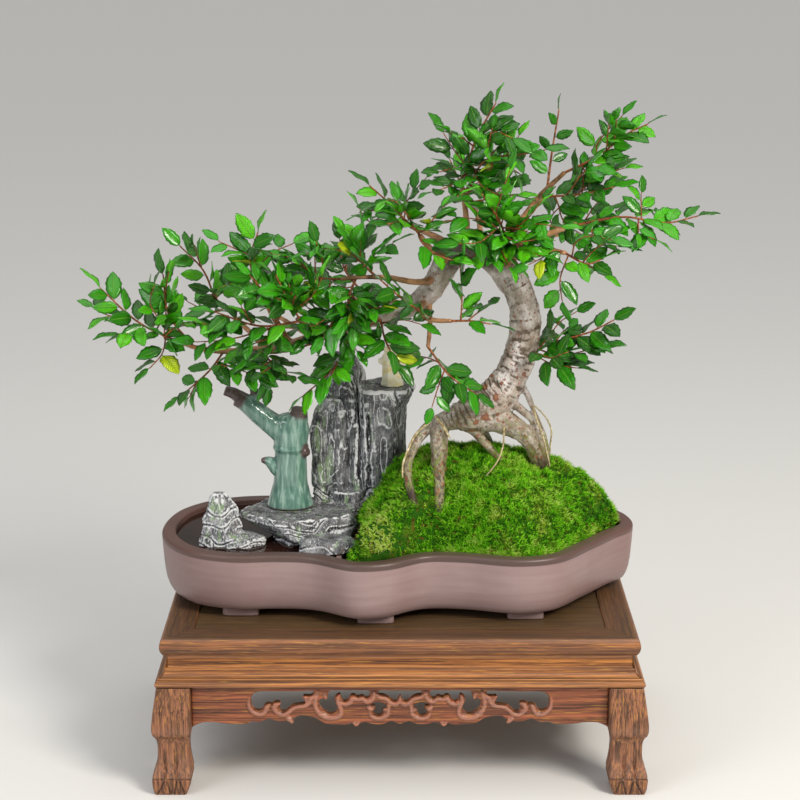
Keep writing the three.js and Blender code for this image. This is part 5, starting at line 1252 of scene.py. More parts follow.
def mound_surface(share, angle, reach):
    """Points of the moss at shares of the way out along rays."""
    x = MOSS_CENTRE[0] + np.cos(angle) * reach * share
    y = MOSS_CENTRE[1] + np.sin(angle) * reach * share
    z = mound_height(share, angle, x, y)
    flat = np.stack([x, y, np.zeros_like(x)], axis=-1).reshape(-1, 3)
    pads = rough(flat, 19, 3, seed=31).reshape(x.shape) * 2.2 + 3.4 * cushion_depth(flat).reshape(x.shape) - 1.5
    raised = 11 * pale_cushion(x, y) ** 0.5
    return x, y, z + pads * np.clip((1 - share) * 6, 0.25, 1) + raised - 30 * in_bay(x, y)


def make_moss(moss):
    """The mound as a grid of rings and rays closed by its underside, and tufts of thin spikes over it, a sixth of them
    along its edge, but for the rockery's bay."""
    rays, rings = 340, 110
    angles = np.arange(rays) / rays * TAU
    reach = moss_reach(angles)
    share = (np.linspace(0, 1, rings)[1:] ** 0.8)[:, None]
    x, y, z = mound_surface(share, angles[None], reach[None])
    crumbs = rough(np.stack([x, y, z], axis=-1).reshape(-1, 3), 2.6, 2, seed=35).reshape(x.shape)
    z = z + 0.7 * crumbs * np.clip((1 - share) * 30, 0, 1)
    over = np.stack([x, y, z], axis=-1)[::-1]
    under = np.stack([x[-1], y[-1], z[-1] - 12], axis=-1)[None]
    # The mound under the tufts is dark green, partly painted shade between the shoots.
    mound = loft(np.concatenate([under, over]), tip=0.12)
    add_piece("moss_mound", mesh_of("moss_mound", [mound]), [moss], ["moss"])
    draw = np.random.default_rng(7)
    for bed in range(TUFT_PIECES):
        count = TUFT_COUNT // TUFT_PIECES
        edge = draw.random(count) < EDGE_TUFTS
        share = np.where(edge, 1 - 0.035 * draw.random(count) ** 1.4, np.sqrt(draw.random(count)))
        angle = draw.random(count) * TAU
        x, y, z = mound_surface(share, angle, np.interp(angle, angles, reach, period=TAU))
        kept = in_bay(x, y) < 0.05
        roots = np.stack([x, y, z], axis=1)[kept]
        outward = np.stack([np.cos(angle), np.sin(angle), np.where(edge, 0.3, 1.6 - share)], axis=1)[kept]
        add_piece(f"moss_tufts_{bed}", mesh_of(f"moss_tufts_{bed}", [tufts(roots, outward, draw)]), [moss])


def tufts(roots, outward, draw):
    """Star-shaped tufts of three-sided spikes round each tuft's outward direction. A tuft is of one brightness: high on
    a cushion and low in a groove, as painted shade, and some tufts stand out taller and paler."""
    count = len(roots)
    depth = cushion_depth(roots)
    tall = draw.random(count) ** 2.2
    spread = draw.normal(0, 0.6, (count, TUFT_SPIKES, 3))
    lean = outward[:, None] / np.linalg.norm(outward, axis=1)[:, None, None] + spread
    lean /= np.linalg.norm(lean, axis=2)[..., None]
    height = draw.uniform(3.6, 6.2, (count, TUFT_SPIKES, 1)) * (0.6 + 0.4 * depth + 0.5 * tall)[:, None, None]
    start = roots[:, None] + draw.normal(0, 0.5, (count, TUFT_SPIKES, 3)) - lean * 0.8
    side = np.cross(lean, np.array([0.3, 0.5, 0.8]))
    side /= np.linalg.norm(side, axis=2)[..., None]
    other = np.cross(lean, side)
    width = draw.uniform(0.4, 0.62, (count, TUFT_SPIKES, 1)) * (1 + 0.3 * tall)[:, None, None]
    corners = [start + (side * np.cos(a) + other * np.sin(a)) * width for a in (0, TAU / 3, 2 * TAU / 3)]
    points = np.stack([*corners, start + lean * height], axis=2).reshape(-1, 3)
    one = np.array([[0, 1, 3], [1, 2, 3], [2, 0, 3], [0, 2, 1]])
    faces = (np.arange(count * TUFT_SPIKES)[:, None, None] * 4 + one[None]).reshape(-1, 3)
    fresh = 0.5 + 0.5 * noise(roots, 14, seed=63)
    cushion = 0.45 * pale_cushion(roots[:, 0], roots[:, 1])
    # Painted shade: tufts in the grooves between cushions are darker, by depth.
    bright = np.clip(0.04 + 0.32 * depth + 0.42 * fresh * draw.random(count) + 0.68 * tall + cushion, 0.06, 1)
    bright = (bright[:, None] * draw.uniform(0.75, 1.1, (count, TUFT_SPIKES))).clip(0, 1).ravel()
    # Each spike's base is dark: partly older stem, partly painted shade between the shoots.
    low = bright * 0.22
    pale = np.repeat(pale_cushion(roots[:, 0], roots[:, 1]), TUFT_SPIKES * 4)
    return part(points, faces, tip=np.stack([low, low, low, bright], axis=1).ravel(), pale=pale)


# Stones

# Each stone as levels of [x, y, height, half width, half depth], the phase of its outline and its grooves' depth.
ROCKERY = {
    "left": ([[-66, 46, 236, 24, 19], [-69, 45, 262, 21, 17], [-70, 44, 292, 18, 16], [-72, 44, 318, 19, 15],
              [-68, 46, 340, 16, 14], [-66, 47, 352, 9, 9]], 1, 0.12),
    "middle": ([[-48, 52, 222, 24, 26], [-46, 54, 270, 19, 22], [-48, 54, 315, 20, 20], [-54, 56, 350, 19, 19],
                [-58, 58, 378, 17, 16], [-60, 58, 396, 10, 11]], 2.2, 0.12),
    "right": ([[-20, 50, 222, 26, 27], [-20, 50, 262, 22, 25], [-20, 48, 310, 21, 25], [-20, 47, 342, 23, 26],
               [-16, 46, 356, 27, 30], [-14, 46, 365, 29, 31]], 0.4, 0.08),
    "strata": ([[-54, 44, 222, 38, 28], [-53, 45, 244, 37, 27], [-52, 46, 247, 33, 24], [-52, 46, 258, 32, 23]],
               3, 0.08),
    "shelf": ([[-88, 0, 222, 40, 42], [-96, 4, 232, 52, 44], [-104, 6, 240, 56, 45], [-104, 6, 245, 53, 43]], 4, 0.06),
    "foot": ([[-102, -24, 172.3, 14, 17], [-103, -20, 200, 16, 19], [-104, -16, 223, 20, 20]], 5, 0.12),
}
PEAK = ([[-168, -28, 172.3, 30, 17], [-168, -28, 219, 33, 18], [-168, -29, 227, 32, 15], [-178, -28, 230, 21, 12],
         [-180, -27, 246, 18, 10], [-178, -27, 256, 15, 9], [-181, -26, 266, 9, 7], [-181, -26, 272, 5, 4]], 2, 0.09)
SLAB = ([[-84, -60, 172.3, 8, 6], [-85, -60, 221.3, 15, 12], [-72, -61, 222, 29, 15], [-70, -61, 229, 29, 14.5],
         [-73, -57, 236, 24, 11]], 1.4, 0.05)


LAYERED_BELOW = 266  # the height under which the stone lies in layers; above it stands in columns
LAYER_HEIGHT = 11


def stone_part(levels, phase, grooves, around=90):
    """A stone as rings of an uneven outline: the radius at each angle is a sum of sines, deeper grooves run up it."""
    levels = np.asarray(levels, float)
    angle = (np.arange(around) / around * TAU)[None, :]
    heights = np.arange(levels[0, 2], levels[-1, 2], 1.5)
    x, y, half_x, half_y, level = (np.interp(heights, levels[:, 2], column)[:, None]
                                   for column in (*levels[:, [0, 1, 3, 4]].T, np.arange(len(levels))))
    rough_out = 1 + grooves * (np.sin(5 * angle + phase) + 0.6 * np.sin(3 * angle + 2 * phase + level * 0.5))
    rings = np.stack([x + np.cos(angle) * half_x * rough_out, y + np.sin(angle) * half_y * rough_out,
                      np.broadcast_to(heights[:, None], rough_out.shape)], axis=2)
    return loft(rings)


def edge_standout(mesh, points, normals, rounds=2):
    """How far each point stands out from its neighbours' mean along its normal, averaged over its neighbours."""
    pairs = np.empty(len(mesh.edges) * 2, int)
    mesh.edges.foreach_get("vertices", pairs)
    pairs = pairs.reshape(-1, 2)
    number = np.bincount(pairs.ravel(), minlength=len(points))[:, None]

    def mean_round(values):
        """The mean of each point's neighbours."""
        total = np.zeros_like(values)
        np.add.at(total, pairs[:, 0], values[pairs[:, 1]])
        np.add.at(total, pairs[:, 1], values[pairs[:, 0]])
        return total / number

    out = ((points - mean_round(mean_round(points))) * normals).sum(axis=1)[:, None]
    for _ in range(rounds):
        out = mean_round(out)
    return out[:, 0]


def carve_stone(mesh, depth, layers=0.0, chalk=0.0):
    """Cuts a stone's skin along its normals: upright grooves where a noise drawn out along Z crosses zero, which leave
    rounded columns, and layers from a saw wave in height, low down or, from 0 to 1 by layers, all over. The noise and
    the wave stay on it as marks for its colour, and so do the edges that stand out, with chalk added to them, for pale
    edges that are partly wear and brushed white and partly painted highlight."""
    points, normals = read_points(mesh), read_normals(mesh)
    flow = rough(points, (17, 17, 100), 2, seed=41) + 0.06 * rough(points, 8, 2, seed=43)
    layer = points[:, 2] / LAYER_HEIGHT + rough(points, 30, 2, seed=47) * 0.9
    saw = layer - np.floor(layer)
    low = np.clip((LAYERED_BELOW - points[:, 2]) / 6, layers, 1)
    upright = np.clip(1.3 - np.abs(normals[:, 2]) * 1.4, 0, 1)
    rise = upright * (1.3 - low).clip(0, 1)
    apart = np.abs(flow)
    column = np.clip(apart / 0.5, 0, 1) ** 0.5 - 0.9 * np.clip(1 - apart / 0.075, 0, 1)
    shift = depth * (0.8 * column * rise - 0.8 * saw**3 * low * upright + 0.16 * rough(points, 5, 3, seed=45))
    write_points(mesh, points + normals * shift[:, None])
    points, normals = read_points(mesh), read_normals(mesh)
    marks = {"flow": flow, "layer": layer, "rise": rise, "bed": low * upright,
             "ridge": np.clip(edge_standout(mesh, points, normals, 1) * 4.5 - 0.4, 0, 1) + chalk}
    for mark, values in marks.items():
        set_mark(mesh, mark, values)


def make_stones(stone):
    """The rockery, the peak in the pool and the slab at its front, each grown together and carved."""
    for name, shapes, grain, node, depth, carving in (
        ("cliff_and_shelf", ROCKERY.values(), 1.2, "rockery", 3.2, {}),
        ("standing_peak", [PEAK], 1.0, "rock_peak", 3.0, {"chalk": 0.3}),
        ("stepped_slab", [SLAB], 1.1, "rock_slab", 1.6, {"layers": 0.8}),
    ):
        mesh = grown_together(name, [stone_part(*shape) for shape in shapes], grain)
        carve_stone(mesh, depth, **carving)
        add_piece(name, mesh, [stone], [node])


# The glazed ornaments

# The stump's foot, its rings as [height, half width, half depth] and its limbs as routes from the foot with radii.
STUMP_FOOT = np.array([-112, 14, 245.3])
STUMP_RINGS = [(0, 24, 20), (9, 21.5, 18), (24, 17.5, 15), (40, 16.5, 14.3), (58, 16, 14), (62, 18.5, 16), (66, 17, 15),
               (80, 19, 15), (92, 16, 13), (96, 11, 10), (97.5, 5, 5)]
STUMP_LIMBS = [
    ([[-4, 0, 76], [-24, -1, 92], [-44, -2, 109], [-52, -2, 114]], [13, 11.5, 10, 8.5]),
    ([[-38, -2, 104], [-54, -3, 118], [-64, -4, 122]], [8, 6.5, 5]),
    ([[-36, -2, 106], [-34, -2, 119], [-36, -2, 124]], [5, 5, 4]),
    ([[8, 0, 84], [10, -3, 97], [11, -4, 103]], [11, 10, 8]),
    ([[-12, 0, 40], [-22, 0, 47], [-29, 0, 48]], [9, 6, 2]),
    ([[12, -4, 56], [19, -8, 60]], [6, 4.5]),
]


def make_stump(glaze):
    """The glazed stump: a stack of oval rings with six broken limbs grown into it, fluted like old wood and marked
    where the clay is bare."""
    around = 60
    angle = np.arange(around) / around * TAU
    rings = [np.column_stack([STUMP_FOOT[0] + height * 0.02 + half_x * np.cos(angle),
                              STUMP_FOOT[1] + half_y * np.sin(angle), np.full(around, STUMP_FOOT[2] + height)])
             for height, half_x, half_y in STUMP_RINGS]
    parts = [loft(rings)] + [tube(np.array(route) + STUMP_FOOT, radii, sides=24) for route, radii in STUMP_LIMBS]
    mesh = grown_together("stump", parts, 0.95, smoothing=4)
    points, normals = read_points(mesh), read_normals(mesh)
    flutes = rough(points, (6, 6, 22), 3, seed=51)
    base = np.clip((points[:, 2] - STUMP_FOOT[2]) / 3, 0, 1)
    write_points(mesh, points + normals * (flutes * 0.25 * base)[:, None])
    local = points - STUMP_FOOT
    ends = [(route[-1], radii[-1]) for route, radii in STUMP_LIMBS]
    near = np.min([np.linalg.norm(local - np.array(end), axis=1) - radius for end, radius in ends], axis=0)
    foot = np.clip(1.7 - local[:, 2] / 1.4, 0, 1)
    set_mark(mesh, "bare", np.maximum(np.clip(1.8 - near / 3.0 + 0.3 * flutes, 0, 1), foot))
    add_piece("celadon_stump", mesh, [glaze], ["glazed_stump"])


PAGODA_FOOT = np.array([-8, 44, 365.3])


def make_pagoda(glaze, shade):
    """The eight-sided tower: a profile of steps, walls, upturned eaves, a small upper storey and a finial, with dark
    windows set into the walls, plates of painted shade where the openings are."""
    profile = [(0, 12.5), (0.9, 12.5), (1.3, 12.1), (2.4, 12.0), (2.8, 11.4), (20.2, 10.7), (20.8, 11.2), (21.4, 11.4),
               (22.0, 13.6), (23.0, 15.2), (24.0, 15.5), (24.7, 15.2), (25.1, 14.2), (26.6, 12.4), (28.6, 10.9),
               (30.2, 10.0), (30.6, 9.4), (31.2, 9.2), (35.6, 8.9), (36.2, 9.4), (36.9, 10.2), (37.6, 10.5),
               (38.2, 9.8), (39.2, 7.6),
               (40.4, 5.9), (41.4, 4.8), (41.9, 4.4), (42.4, 5.8), (43.1, 6.2), (43.8, 5.6), (44.4, 3.6), (45.4, 3.1),
               (46.6, 3.3), (47.6, 2.5), (48.5, 1.6), (49.2, 0.5)]
    sides, steps = 8, 6
    corner = (np.arange(sides * steps) / steps + 0.5) / sides * TAU
    within = (corner * sides / TAU - 0.5) % 1
    flat = np.cos(np.pi / sides) / np.cos((within - 0.5) * TAU / sides)
    rings = []
    for height, radius in profile:
        lift = 0.9 * np.clip((flat - 0.95) / 0.05, 0, 1) if 21.9 < height < 25.5 or 36.8 < height < 38.5 else 0
        rings.append(np.column_stack([PAGODA_FOOT[0] + radius * flat * np.cos(corner),
                                      PAGODA_FOOT[1] + radius * flat * np.sin(corner),
                                      PAGODA_FOOT[2] + height + lift + 0 * corner]))
    parts = [loft(rings)]
    for side in range(sides):
        turn = (side + 1) / sides * TAU
        for low, high, half, reach in ((7.5, 16.0, 1.7, 10.55), (32.0, 34.6, 1.0, 8.72)):
            parts.append(window_part(turn, low, high, half, reach))
    add_piece("pagoda_tower", mesh_of("pagoda", parts), [glaze, shade], ["pagoda"], crease=28)


def window_part(turn, low, high, half, reach):
    """A dark arched opening: a thin plate of painted shade, round at its top, that stands just proud of a wall at an
    angle.
    """
    outline = [(-half, low), (half, low), (half, high - half)] + [(half * np.cos(a), high - half + half * np.sin(a))
                                                                 for a in np.linspace(0.4, np.pi - 0.4, 5)]
    outline.append((-half, high - half))
    ring = np.array(outline)
    direction = np.array([np.cos(turn), np.sin(turn), 0])
    side = np.array([-np.sin(turn), np.cos(turn), 0])
    layers = [PAGODA_FOOT + direction * depth + side * ring[:, :1] + np.array([0, 0, 1]) * ring[:, 1:]
              for depth in (reach - 1.5, reach * np.cos(np.pi / 8) + 0.12)]
    return loft(layers, material=1)


# The carved stand

STAND_HALF_X = 231.5
STAND_HALF_Y = 138.0
WAIST_BOTTOM = 109.8
FIT = 0.3  # mm between fitted pieces of the stand

# Profiles as [inset, height]; close points on their flats keep the wear, which follows the bends, at the edges.
RAIL_PROFILE = [(31, 140.4), (31, 157.6), (30.6, 158), (28, 158), (26, 158), (9, 158), (7, 158), (5.2, 158),
                (3.8, 157.8), (2.0, 156.8), (0.8, 155), (0.2, 152.4), (0.0, 149.6), (0.5, 146.4), (1.7, 143.4),
                (3.2, 141.2), (4.6, 140.4)]
WAIST_PROFILE = [(24, 109.8), (24, 140.1), (7, 140.1), (7, 138), (7, 136), (7, 131), (7, 129.5), (7, 128.2),
                 (6.6, 127.2), (5.0, 126.7), (4.4, 126), (4.5, 124.8), (3.9, 122.6), (2.2, 120.4), (-0.4, 118.9),
                 (-2.0, 118.6), (-2.5, 118), (-1.8, 117), (-3.4, 116.5), (-4.6, 115.2), (-5.0, 113.6), (-4.8, 112),
                 (-4.0, 110.8), (-2.4, 110), (-1.6, 109.8)]


def turned_about_z(points, turn):
    """Points turned about the Z axis by an angle."""
    x, y, z = np.moveaxis(points, -1, 0)
    return np.stack([x * np.cos(turn) - y * np.sin(turn), x * np.sin(turn) + y * np.cos(turn), z], axis=-1)


def straight_moulding(profile, side, material):
    """One side of a mitred frame: a profile of [inset, height] between two mitres at 45 degrees. Sides 0 to 3 are
    front, right, back and left."""
    profile = np.array(profile)
    along_x = side % 2 == 0
    half, reach = (STAND_HALF_X, STAND_HALF_Y) if along_x else (STAND_HALF_Y, STAND_HALF_X)
    shares = np.linspace(-1, 1, 60)
    rings = np.array([np.column_stack([share * (half - profile[:, 0] - FIT / 2), -reach + profile[:, 0], profile[:, 1]])
                      for share in shares])
    worn = np.abs(np.gradient(np.unwrap(np.arctan2(*np.gradient(profile, axis=0).T))))
    worn = np.clip(worn * 1.2, 0, 1) * (profile[:, 0] < 20)
    marks = np.concatenate([np.tile(worn, len(shares)), [0, 0]])
    return loft(turned_about_z(rings, side * np.pi / 2), material=material, worn=marks)


def make_frame(rail_woods, waist_woods):
    """The stand's top rails and waist: four mitred lengths each, the grain along them."""
    for name, profile, nodes, woods in (("top_rails", RAIL_PROFILE, "stand_rail", rail_woods),
                                        ("waist_mouldings", WAIST_PROFILE, "stand_waist", waist_woods)):
        parts = [straight_moulding(profile, side, side % 2) for side in range(4)]
        replaced = [f"{nodes}_{side}" for side in ("front", "back", "left", "right")]
        add_piece(name, mesh_of(name, parts), woods, replaced, crease=35)


# Each leg's square section as [height, outward, inward] from the stand's edge lines.
LEG_SECTIONS = np.array([
    [0, 7.6, 23.5], [5, 9, 25.5], [12, 9.8, 27.8], [16.5, 9.9, 28.3], [20, 9.2, 28.2], [27, 6.6, 27], [36, 4.6, 25.9],
    [46, 4, 25.6], [54, 4.6, 26.6], [58, 6.4, 27.8], [62, 8.6, 28.8], [69, 9.4, 29], [80, 8.4, 29], [95, 6.2, 29],
    [109.5, 4, 29],
], float)
# The toes: where two grooves run down to the foot, and the wedge lines cut in the foot as [top, bottom].
TOE_GROOVES = (-13.8, -3.2)
SHOULDER_LINE = 58.5
WEDGE_LINES = [(-17.3, -22), (-14.7, -11.2), (-4.7, -8.2), (-2.1, 4.6)]
FOOT_LINE = 17.0


def leg_part(sign_x, sign_y, around=88):
    """A leg as square sections with eased corners up its height: out to the corner and in under the stand."""
    top = LEG_SECTIONS[-1, 0]
    heights = np.append(np.arange(0, top, 1.0), top)
    out = curve_heights(LEG_SECTIONS[:, [0, 1]], heights)
    inward = curve_heights(LEG_SECTIONS[:, [0, 2]], heights)
    angle = (np.arange(around) + 0.5) / around * TAU
    reach = (np.abs(np.cos(angle))**18 + np.abs(np.sin(angle))**18) ** (-1 / 18)
    half = ((out + inward) / 2)[:, None]
    middle = ((out - inward) / 2)[:, None]
    x = sign_x * (STAND_HALF_X + middle + half * (reach * np.cos(angle))[None])
    y = sign_y * (STAND_HALF_Y + middle + half * (reach * np.sin(angle))[None])
    rings = np.stack([x, y, np.broadcast_to(heights[:, None], x.shape)], axis=2)
    return loft(rings if sign_x * sign_y > 0 else rings[:, ::-1])


def curve_heights(table, heights):
    """Values over height on a smooth curve through rows of [height, value]."""
    fine = curve_place(table, np.linspace(0, 1, 400))
    return np.interp(heights, fine[:, 0], fine[:, 1])


def dip(value, width):
    """A smooth groove's depth from 0 to 1 by the distance from its middle: a bell curve."""
    return np.exp(-(value / width) ** 2)


def make_legs(wood):
    """Each leg with its carving pushed in: toes parted by two grooves, a line over the foot and wedges cut below it."""
    corners = {"front_left": (-1, -1), "front_right": (1, -1), "back_left": (-1, 1), "back_right": (1, 1)}
    for corner, (sign_x, sign_y) in corners.items():
        mesh = grown_together(f"leg_{corner}", [leg_part(sign_x, sign_y)], 0.95, smoothing=1)
        points, normals = read_points(mesh), read_normals(mesh)
        faces_y = np.abs(normals[:, 1]) > np.abs(normals[:, 0])
        across = np.where(faces_y, points[:, 0] * sign_x - STAND_HALF_X, points[:, 1] * sign_y - STAND_HALF_Y)
        z = points[:, 2]
        sides = np.clip(1.6 - np.abs(normals[:, 2]) * 2, 0, 1)
        down = np.clip((FOOT_LINE - 2 - z) / (FOOT_LINE - 2), 0, 1)
        wedges = sum(dip(across - top - (bottom - top) * down, 0.75) for top, bottom in WEDGE_LINES)
        wedges = np.where(z < FOOT_LINE - 1.5, wedges, 0)
        toe_zone = np.clip((48 - z) / 14, 0, 1) * np.clip((z - FOOT_LINE) / 1.5, 0, 1)
        width = np.interp(z, [FOOT_LINE, 44], [1.1, 2.8])
        toes = sum(dip(across - middle, width) for middle in TOE_GROOVES)
        shift = sides * (-2.3 * toe_zone * toes - 1.9 * wedges - 1.2 * dip(z - FOOT_LINE, 0.9)
                         - 0.9 * dip(z - SHOULDER_LINE, 2.2))
        write_points(mesh, points + normals * shift[:, None])
        # Pale on the toe ridges and the knee: partly wear, partly painted highlight.
        set_mark(mesh, "worn", np.clip(0.5 * toe_zone * (1 - toes * 1.5) + 0.35 * dip(z - 67, 5), 0, 1))
        # Painted shade in the wedges, the toe grooves, the foot line and the shoulder line.
        set_mark(mesh, "cut", np.clip(sides * (wedges + 0.7 * dip(z - FOOT_LINE, 0.9) + 0.5 * toe_zone * toes
                                               + 0.45 * dip(z - SHOULDER_LINE, 2.4)), 0, 1))
        add_piece(f"leg_{corner}", mesh, [wood], [f"stand_leg_{corner}"])


# The openwork of one half of an apron as outlines of [x, height], mirrored about the middle: the scroll by the leg,
# the hooked scroll and the trefoil. The middle opening is given by its left half.
END_SCROLL = [
    (-140.2, 101.7), (-143.6, 98.3), (-144.6, 93.7), (-143.9, 88.4), (-141.6, 84.5), (-137.2, 83), (-133.5, 84.5),
    (-132, 87.6), (-129.8, 89.9), (-125.4, 90.3), (-123.4, 88.6), (-123, 90.9), (-119.5, 92.2), (-115.8, 91.4),
    (-116.8, 86.8), (-115, 82.4), (-111.3, 82.2), (-107.6, 85.3), (-103.2, 88.8), (-98, 89.9), (-92.1, 90.7),
    (-90.2, 93.4), (-93.2, 96.5), (-93.8, 98.6), (-88.4, 98.3), (-85.2, 99.1), (-83.5, 101), (-83.9, 103.2),
    (-87, 103.6), (-98.8, 103.2), (-110, 103), (-120.9, 102.9), (-131.3, 102.9), (-136.4, 102.7),
]
HOOKED_SCROLL = [
    (-69.2, 102.6), (-67, 103.8), (-60, 104.1), (-47, 104.3), (-36, 104.3), (-30.6, 104), (-29, 101.7), (-29.3, 99.1),
    (-31.9, 95.7), (-34, 96.5), (-36.4, 98.6), (-41.1, 97.2), (-44.8, 99.4), (-47.8, 98.6), (-50, 95.2), (-52.5, 92.8),
    (-55.1, 93), (-56.9, 96.5), (-58.1, 100.1), (-60.3, 99.5), (-62.8, 97.2), (-63.3, 94), (-61.8, 89.9),
    (-60.9, 85.3), (-62.1, 81.8), (-65.5, 79.7), (-70.4, 80.3), (-75.1, 83.8), (-77.8, 88.4), (-78.7, 93),
    (-76.6, 94.9), (-72.4, 96.3), (-70.2, 98.3), (-69.5, 100.6),
]
TREFOIL = [
    (-28.5, 88.8), (-26.3, 91), (-21.9, 91.9), (-17.4, 91.3), (-13.7, 88.8), (-13.3, 86.1), (-15.2, 84.2),
    (-17.4, 83.6), (-15.7, 81.5), (-17.4, 79.2), (-20.4, 78), (-23.4, 78.4), (-26.6, 80), (-26.6, 82.1),
    (-24.1, 84.5), (-24.3, 87.3), (-26.3, 87.9),
]
MIDDLE_SCROLL = [(0, 103.9), (-10, 103.8), (-19.7, 103.7), (-21.9, 101.6), (-21.1, 99.8), (-17.4, 99.4), (-13, 97.8),
                 (-8.9, 94.5), (-4.9, 92.2), (-3, 93.7), (-1.2, 97.5), (0, 99.1)]
# The cusped lower edge from the leg to the middle, long and short, and the raised vines with their leaf tips.
CUSPS = [(-126.1, 74.3), (-119.5, 71.6), (-108.4, 72), (-104, 74), (-98, 77.5), (-89.9, 77.2), (-82.5, 75.4),
         (-76.6, 71.6), (-72.1, 69.3), (-61.8, 68.5), (-51.4, 68.5), (-47, 69.9), (-38.1, 69.9), (-33, 70.8),
         (-27.8, 69), (-18.9, 68.5), (-13, 70), (-8.6, 71.9), (-4.1, 70), (0, 69)]
LONG_EDGE = [(-202.2, 65.4), (-200.1, 67), (-193.4, 70), (-189, 70.8), (-180.1, 70.8), (-169.7, 69.3), (-150.5, 69),
             (-144.6, 71.1), (-135.7, 71.1), (-128.3, 74.2)] + CUSPS
SHORT_EDGE = [(-108.7, 65.4), (-104, 68.5), (-98, 73.5), (-90, 76)] + CUSPS[6:]
END_VINES = [
    ([(-145.4, 99), (-146.4, 94), (-146, 87.5), (-143, 82.4), (-138, 79.6), (-133, 80), (-130, 84.5), (-128.4, 88.4),
      (-125.6, 89.4)], [0.9, 1.6, 2.1, 2.3, 2.3, 2.2, 2.3, 2.6, 1.3]),
    ([(-115.4, 91), (-119.6, 90), (-122, 86.5), (-119.4, 81.6), (-114.6, 78.8), (-109.6, 80.4), (-104.6, 85),
      (-99, 87.4), (-92.6, 88.2), (-88, 91.6), (-86.4, 96), (-83, 98.4), (-80.6, 101)],
     [1.3, 2.6, 2.4, 2.0, 2.2, 2.2, 2.2, 2.1, 2.2, 2.3, 2.2, 2.2, 1.6]),
    ([(-90.2, 92.6), (-92, 96), (-94.4, 98.4)], [1.8, 1.7, 0.8]),
    ([(-110, 76), (-106.6, 73.6), (-104, 70.6)], [2.2, 2.6, 1.7]),
]
SHARED_VINES = [
    ([(-79, 104), (-80.6, 98.6), (-82, 92), (-81.4, 86.4), (-78, 80.6), (-72.6, 76.6), (-65, 75.6), (-58.8, 77.4),
      (-57, 82), (-58.4, 87.6), (-60.2, 92.6), (-59.8, 97), (-58, 100.4)],
     [1.4, 1.9, 2.2, 2.3, 2.4, 2.4, 2.4, 2.4, 2.3, 2.2, 2.3, 2.1, 0.9]),
    ([(-57.4, 91.6), (-53.6, 89.8), (-48.8, 91.6), (-45.8, 95.8), (-41, 95), (-36.4, 95.6), (-32.4, 92.6),
      (-28.4, 93.6), (-25.4, 98.4), (-25, 103)], [1.6, 2.2, 2.4, 2.4, 2.2, 2.3, 2.1, 2.2, 2.2, 1.6]),
    ([(-71.6, 95), (-72.4, 99), (-74.6, 102)], [1.3, 1.9, 1.4]),
    ([(-24, 100.4), (-19.6, 97.2), (-13.6, 95.6), (-9, 91.6), (-4.9, 89.4), (-1.8, 91.6), (0, 96)],
     [1.5, 2.2, 2.3, 2.2, 2.1, 1.9, 1.4]),
    ([(-31.4, 87.6), (-28.6, 85.4), (-25.4, 84.6)], [1.6, 2.7, 1.4]),
    ([(-29.4, 82), (-27.8, 77.6), (-23.4, 75.4), (-17.6, 75.6), (-12.8, 78.6), (-10.9, 84), (-11.2, 89.6)],
     [1.4, 2.0, 2.2, 2.2, 2.1, 2.0, 1.6]),
    ([(-12, 84), (-15.4, 84.6), (-16.8, 84)], [1.6, 2.0, 1.2]),
    ([(-45.6, 71.4), (-42.6, 68.8), (-39.6, 71.4)], [1.4, 2.2, 1.4]),
]


def flat_plate(outline, openings, thickness):
    """A plate with openings in the plane y = 0: a filled curve with holes, given a thickness and round edges."""
    rounding = 1.0 * MM
    curve = bpy.data.curves.new("plate", "CURVE")
    curve.dimensions = "2D"
    curve.fill_mode = "BOTH"
    curve.extrude = (thickness / 2 - 1.0) * MM
    curve.bevel_depth = rounding
    curve.bevel_resolution = 2
    curve.offset = -rounding
    for points in [outline, *openings]:
        spline = curve.splines.new("POLY")
        spline.points.add(len(points) - 1)
        flat = np.column_stack([points, np.zeros(len(points)), np.ones(len(points))]) * [MM, MM, 0, 1]
        spline.points.foreach_set("co", flat.ravel())
        spline.use_cyclic_u = True
    mesh = finished_mesh(new_object("plate", curve))
    points = read_points(mesh)
    mesh.calc_loop_triangles()
    faces = np.empty(len(mesh.loop_triangles) * 3, np.int32)
    mesh.loop_triangles.foreach_get("vertices", faces)
    return part(points[:, [0, 2, 1]] * [1, -1, 1], faces.reshape(-1, 3))


def smooth_outline(points, count=150):
    """A closed smooth curve through points of an outline."""
    return curve_place(points, np.arange(count) / count, closed=True)


def apron_parts(edge, half_openings, vines):
    """An apron's plate with its openings mirrored about the middle, and the vines raised on its face."""
    flipped = np.array([-1, 1])
    smooth = curve_place(edge, np.linspace(0, 1, 110))
    top = WAIST_BOTTOM - FIT
    half_length = -smooth[0, 0]
    outline = np.vstack([[-half_length, top], smooth, (smooth * flipped)[-2::-1], [half_length, top]])
    openings = [smooth_outline(np.array(hole) * [sign, 1]) for hole in half_openings for sign in (1, -1)]
    half = np.array(MIDDLE_SCROLL)
    openings.append(smooth_outline(np.vstack([half, (half * flipped)[-2:0:-1]])))
    plate = flat_plate(outline, openings, 7.0)
    relief = []
    for route, radii in vines:
        route = np.array(route)
        for sign in (1, -1):
            path = np.column_stack([route[:, 0] * sign, np.full(len(route), -3.3), route[:, 1]])
            relief.append(tube(path, radii, sides=14, step=0.9))
    return [plate, *relief]


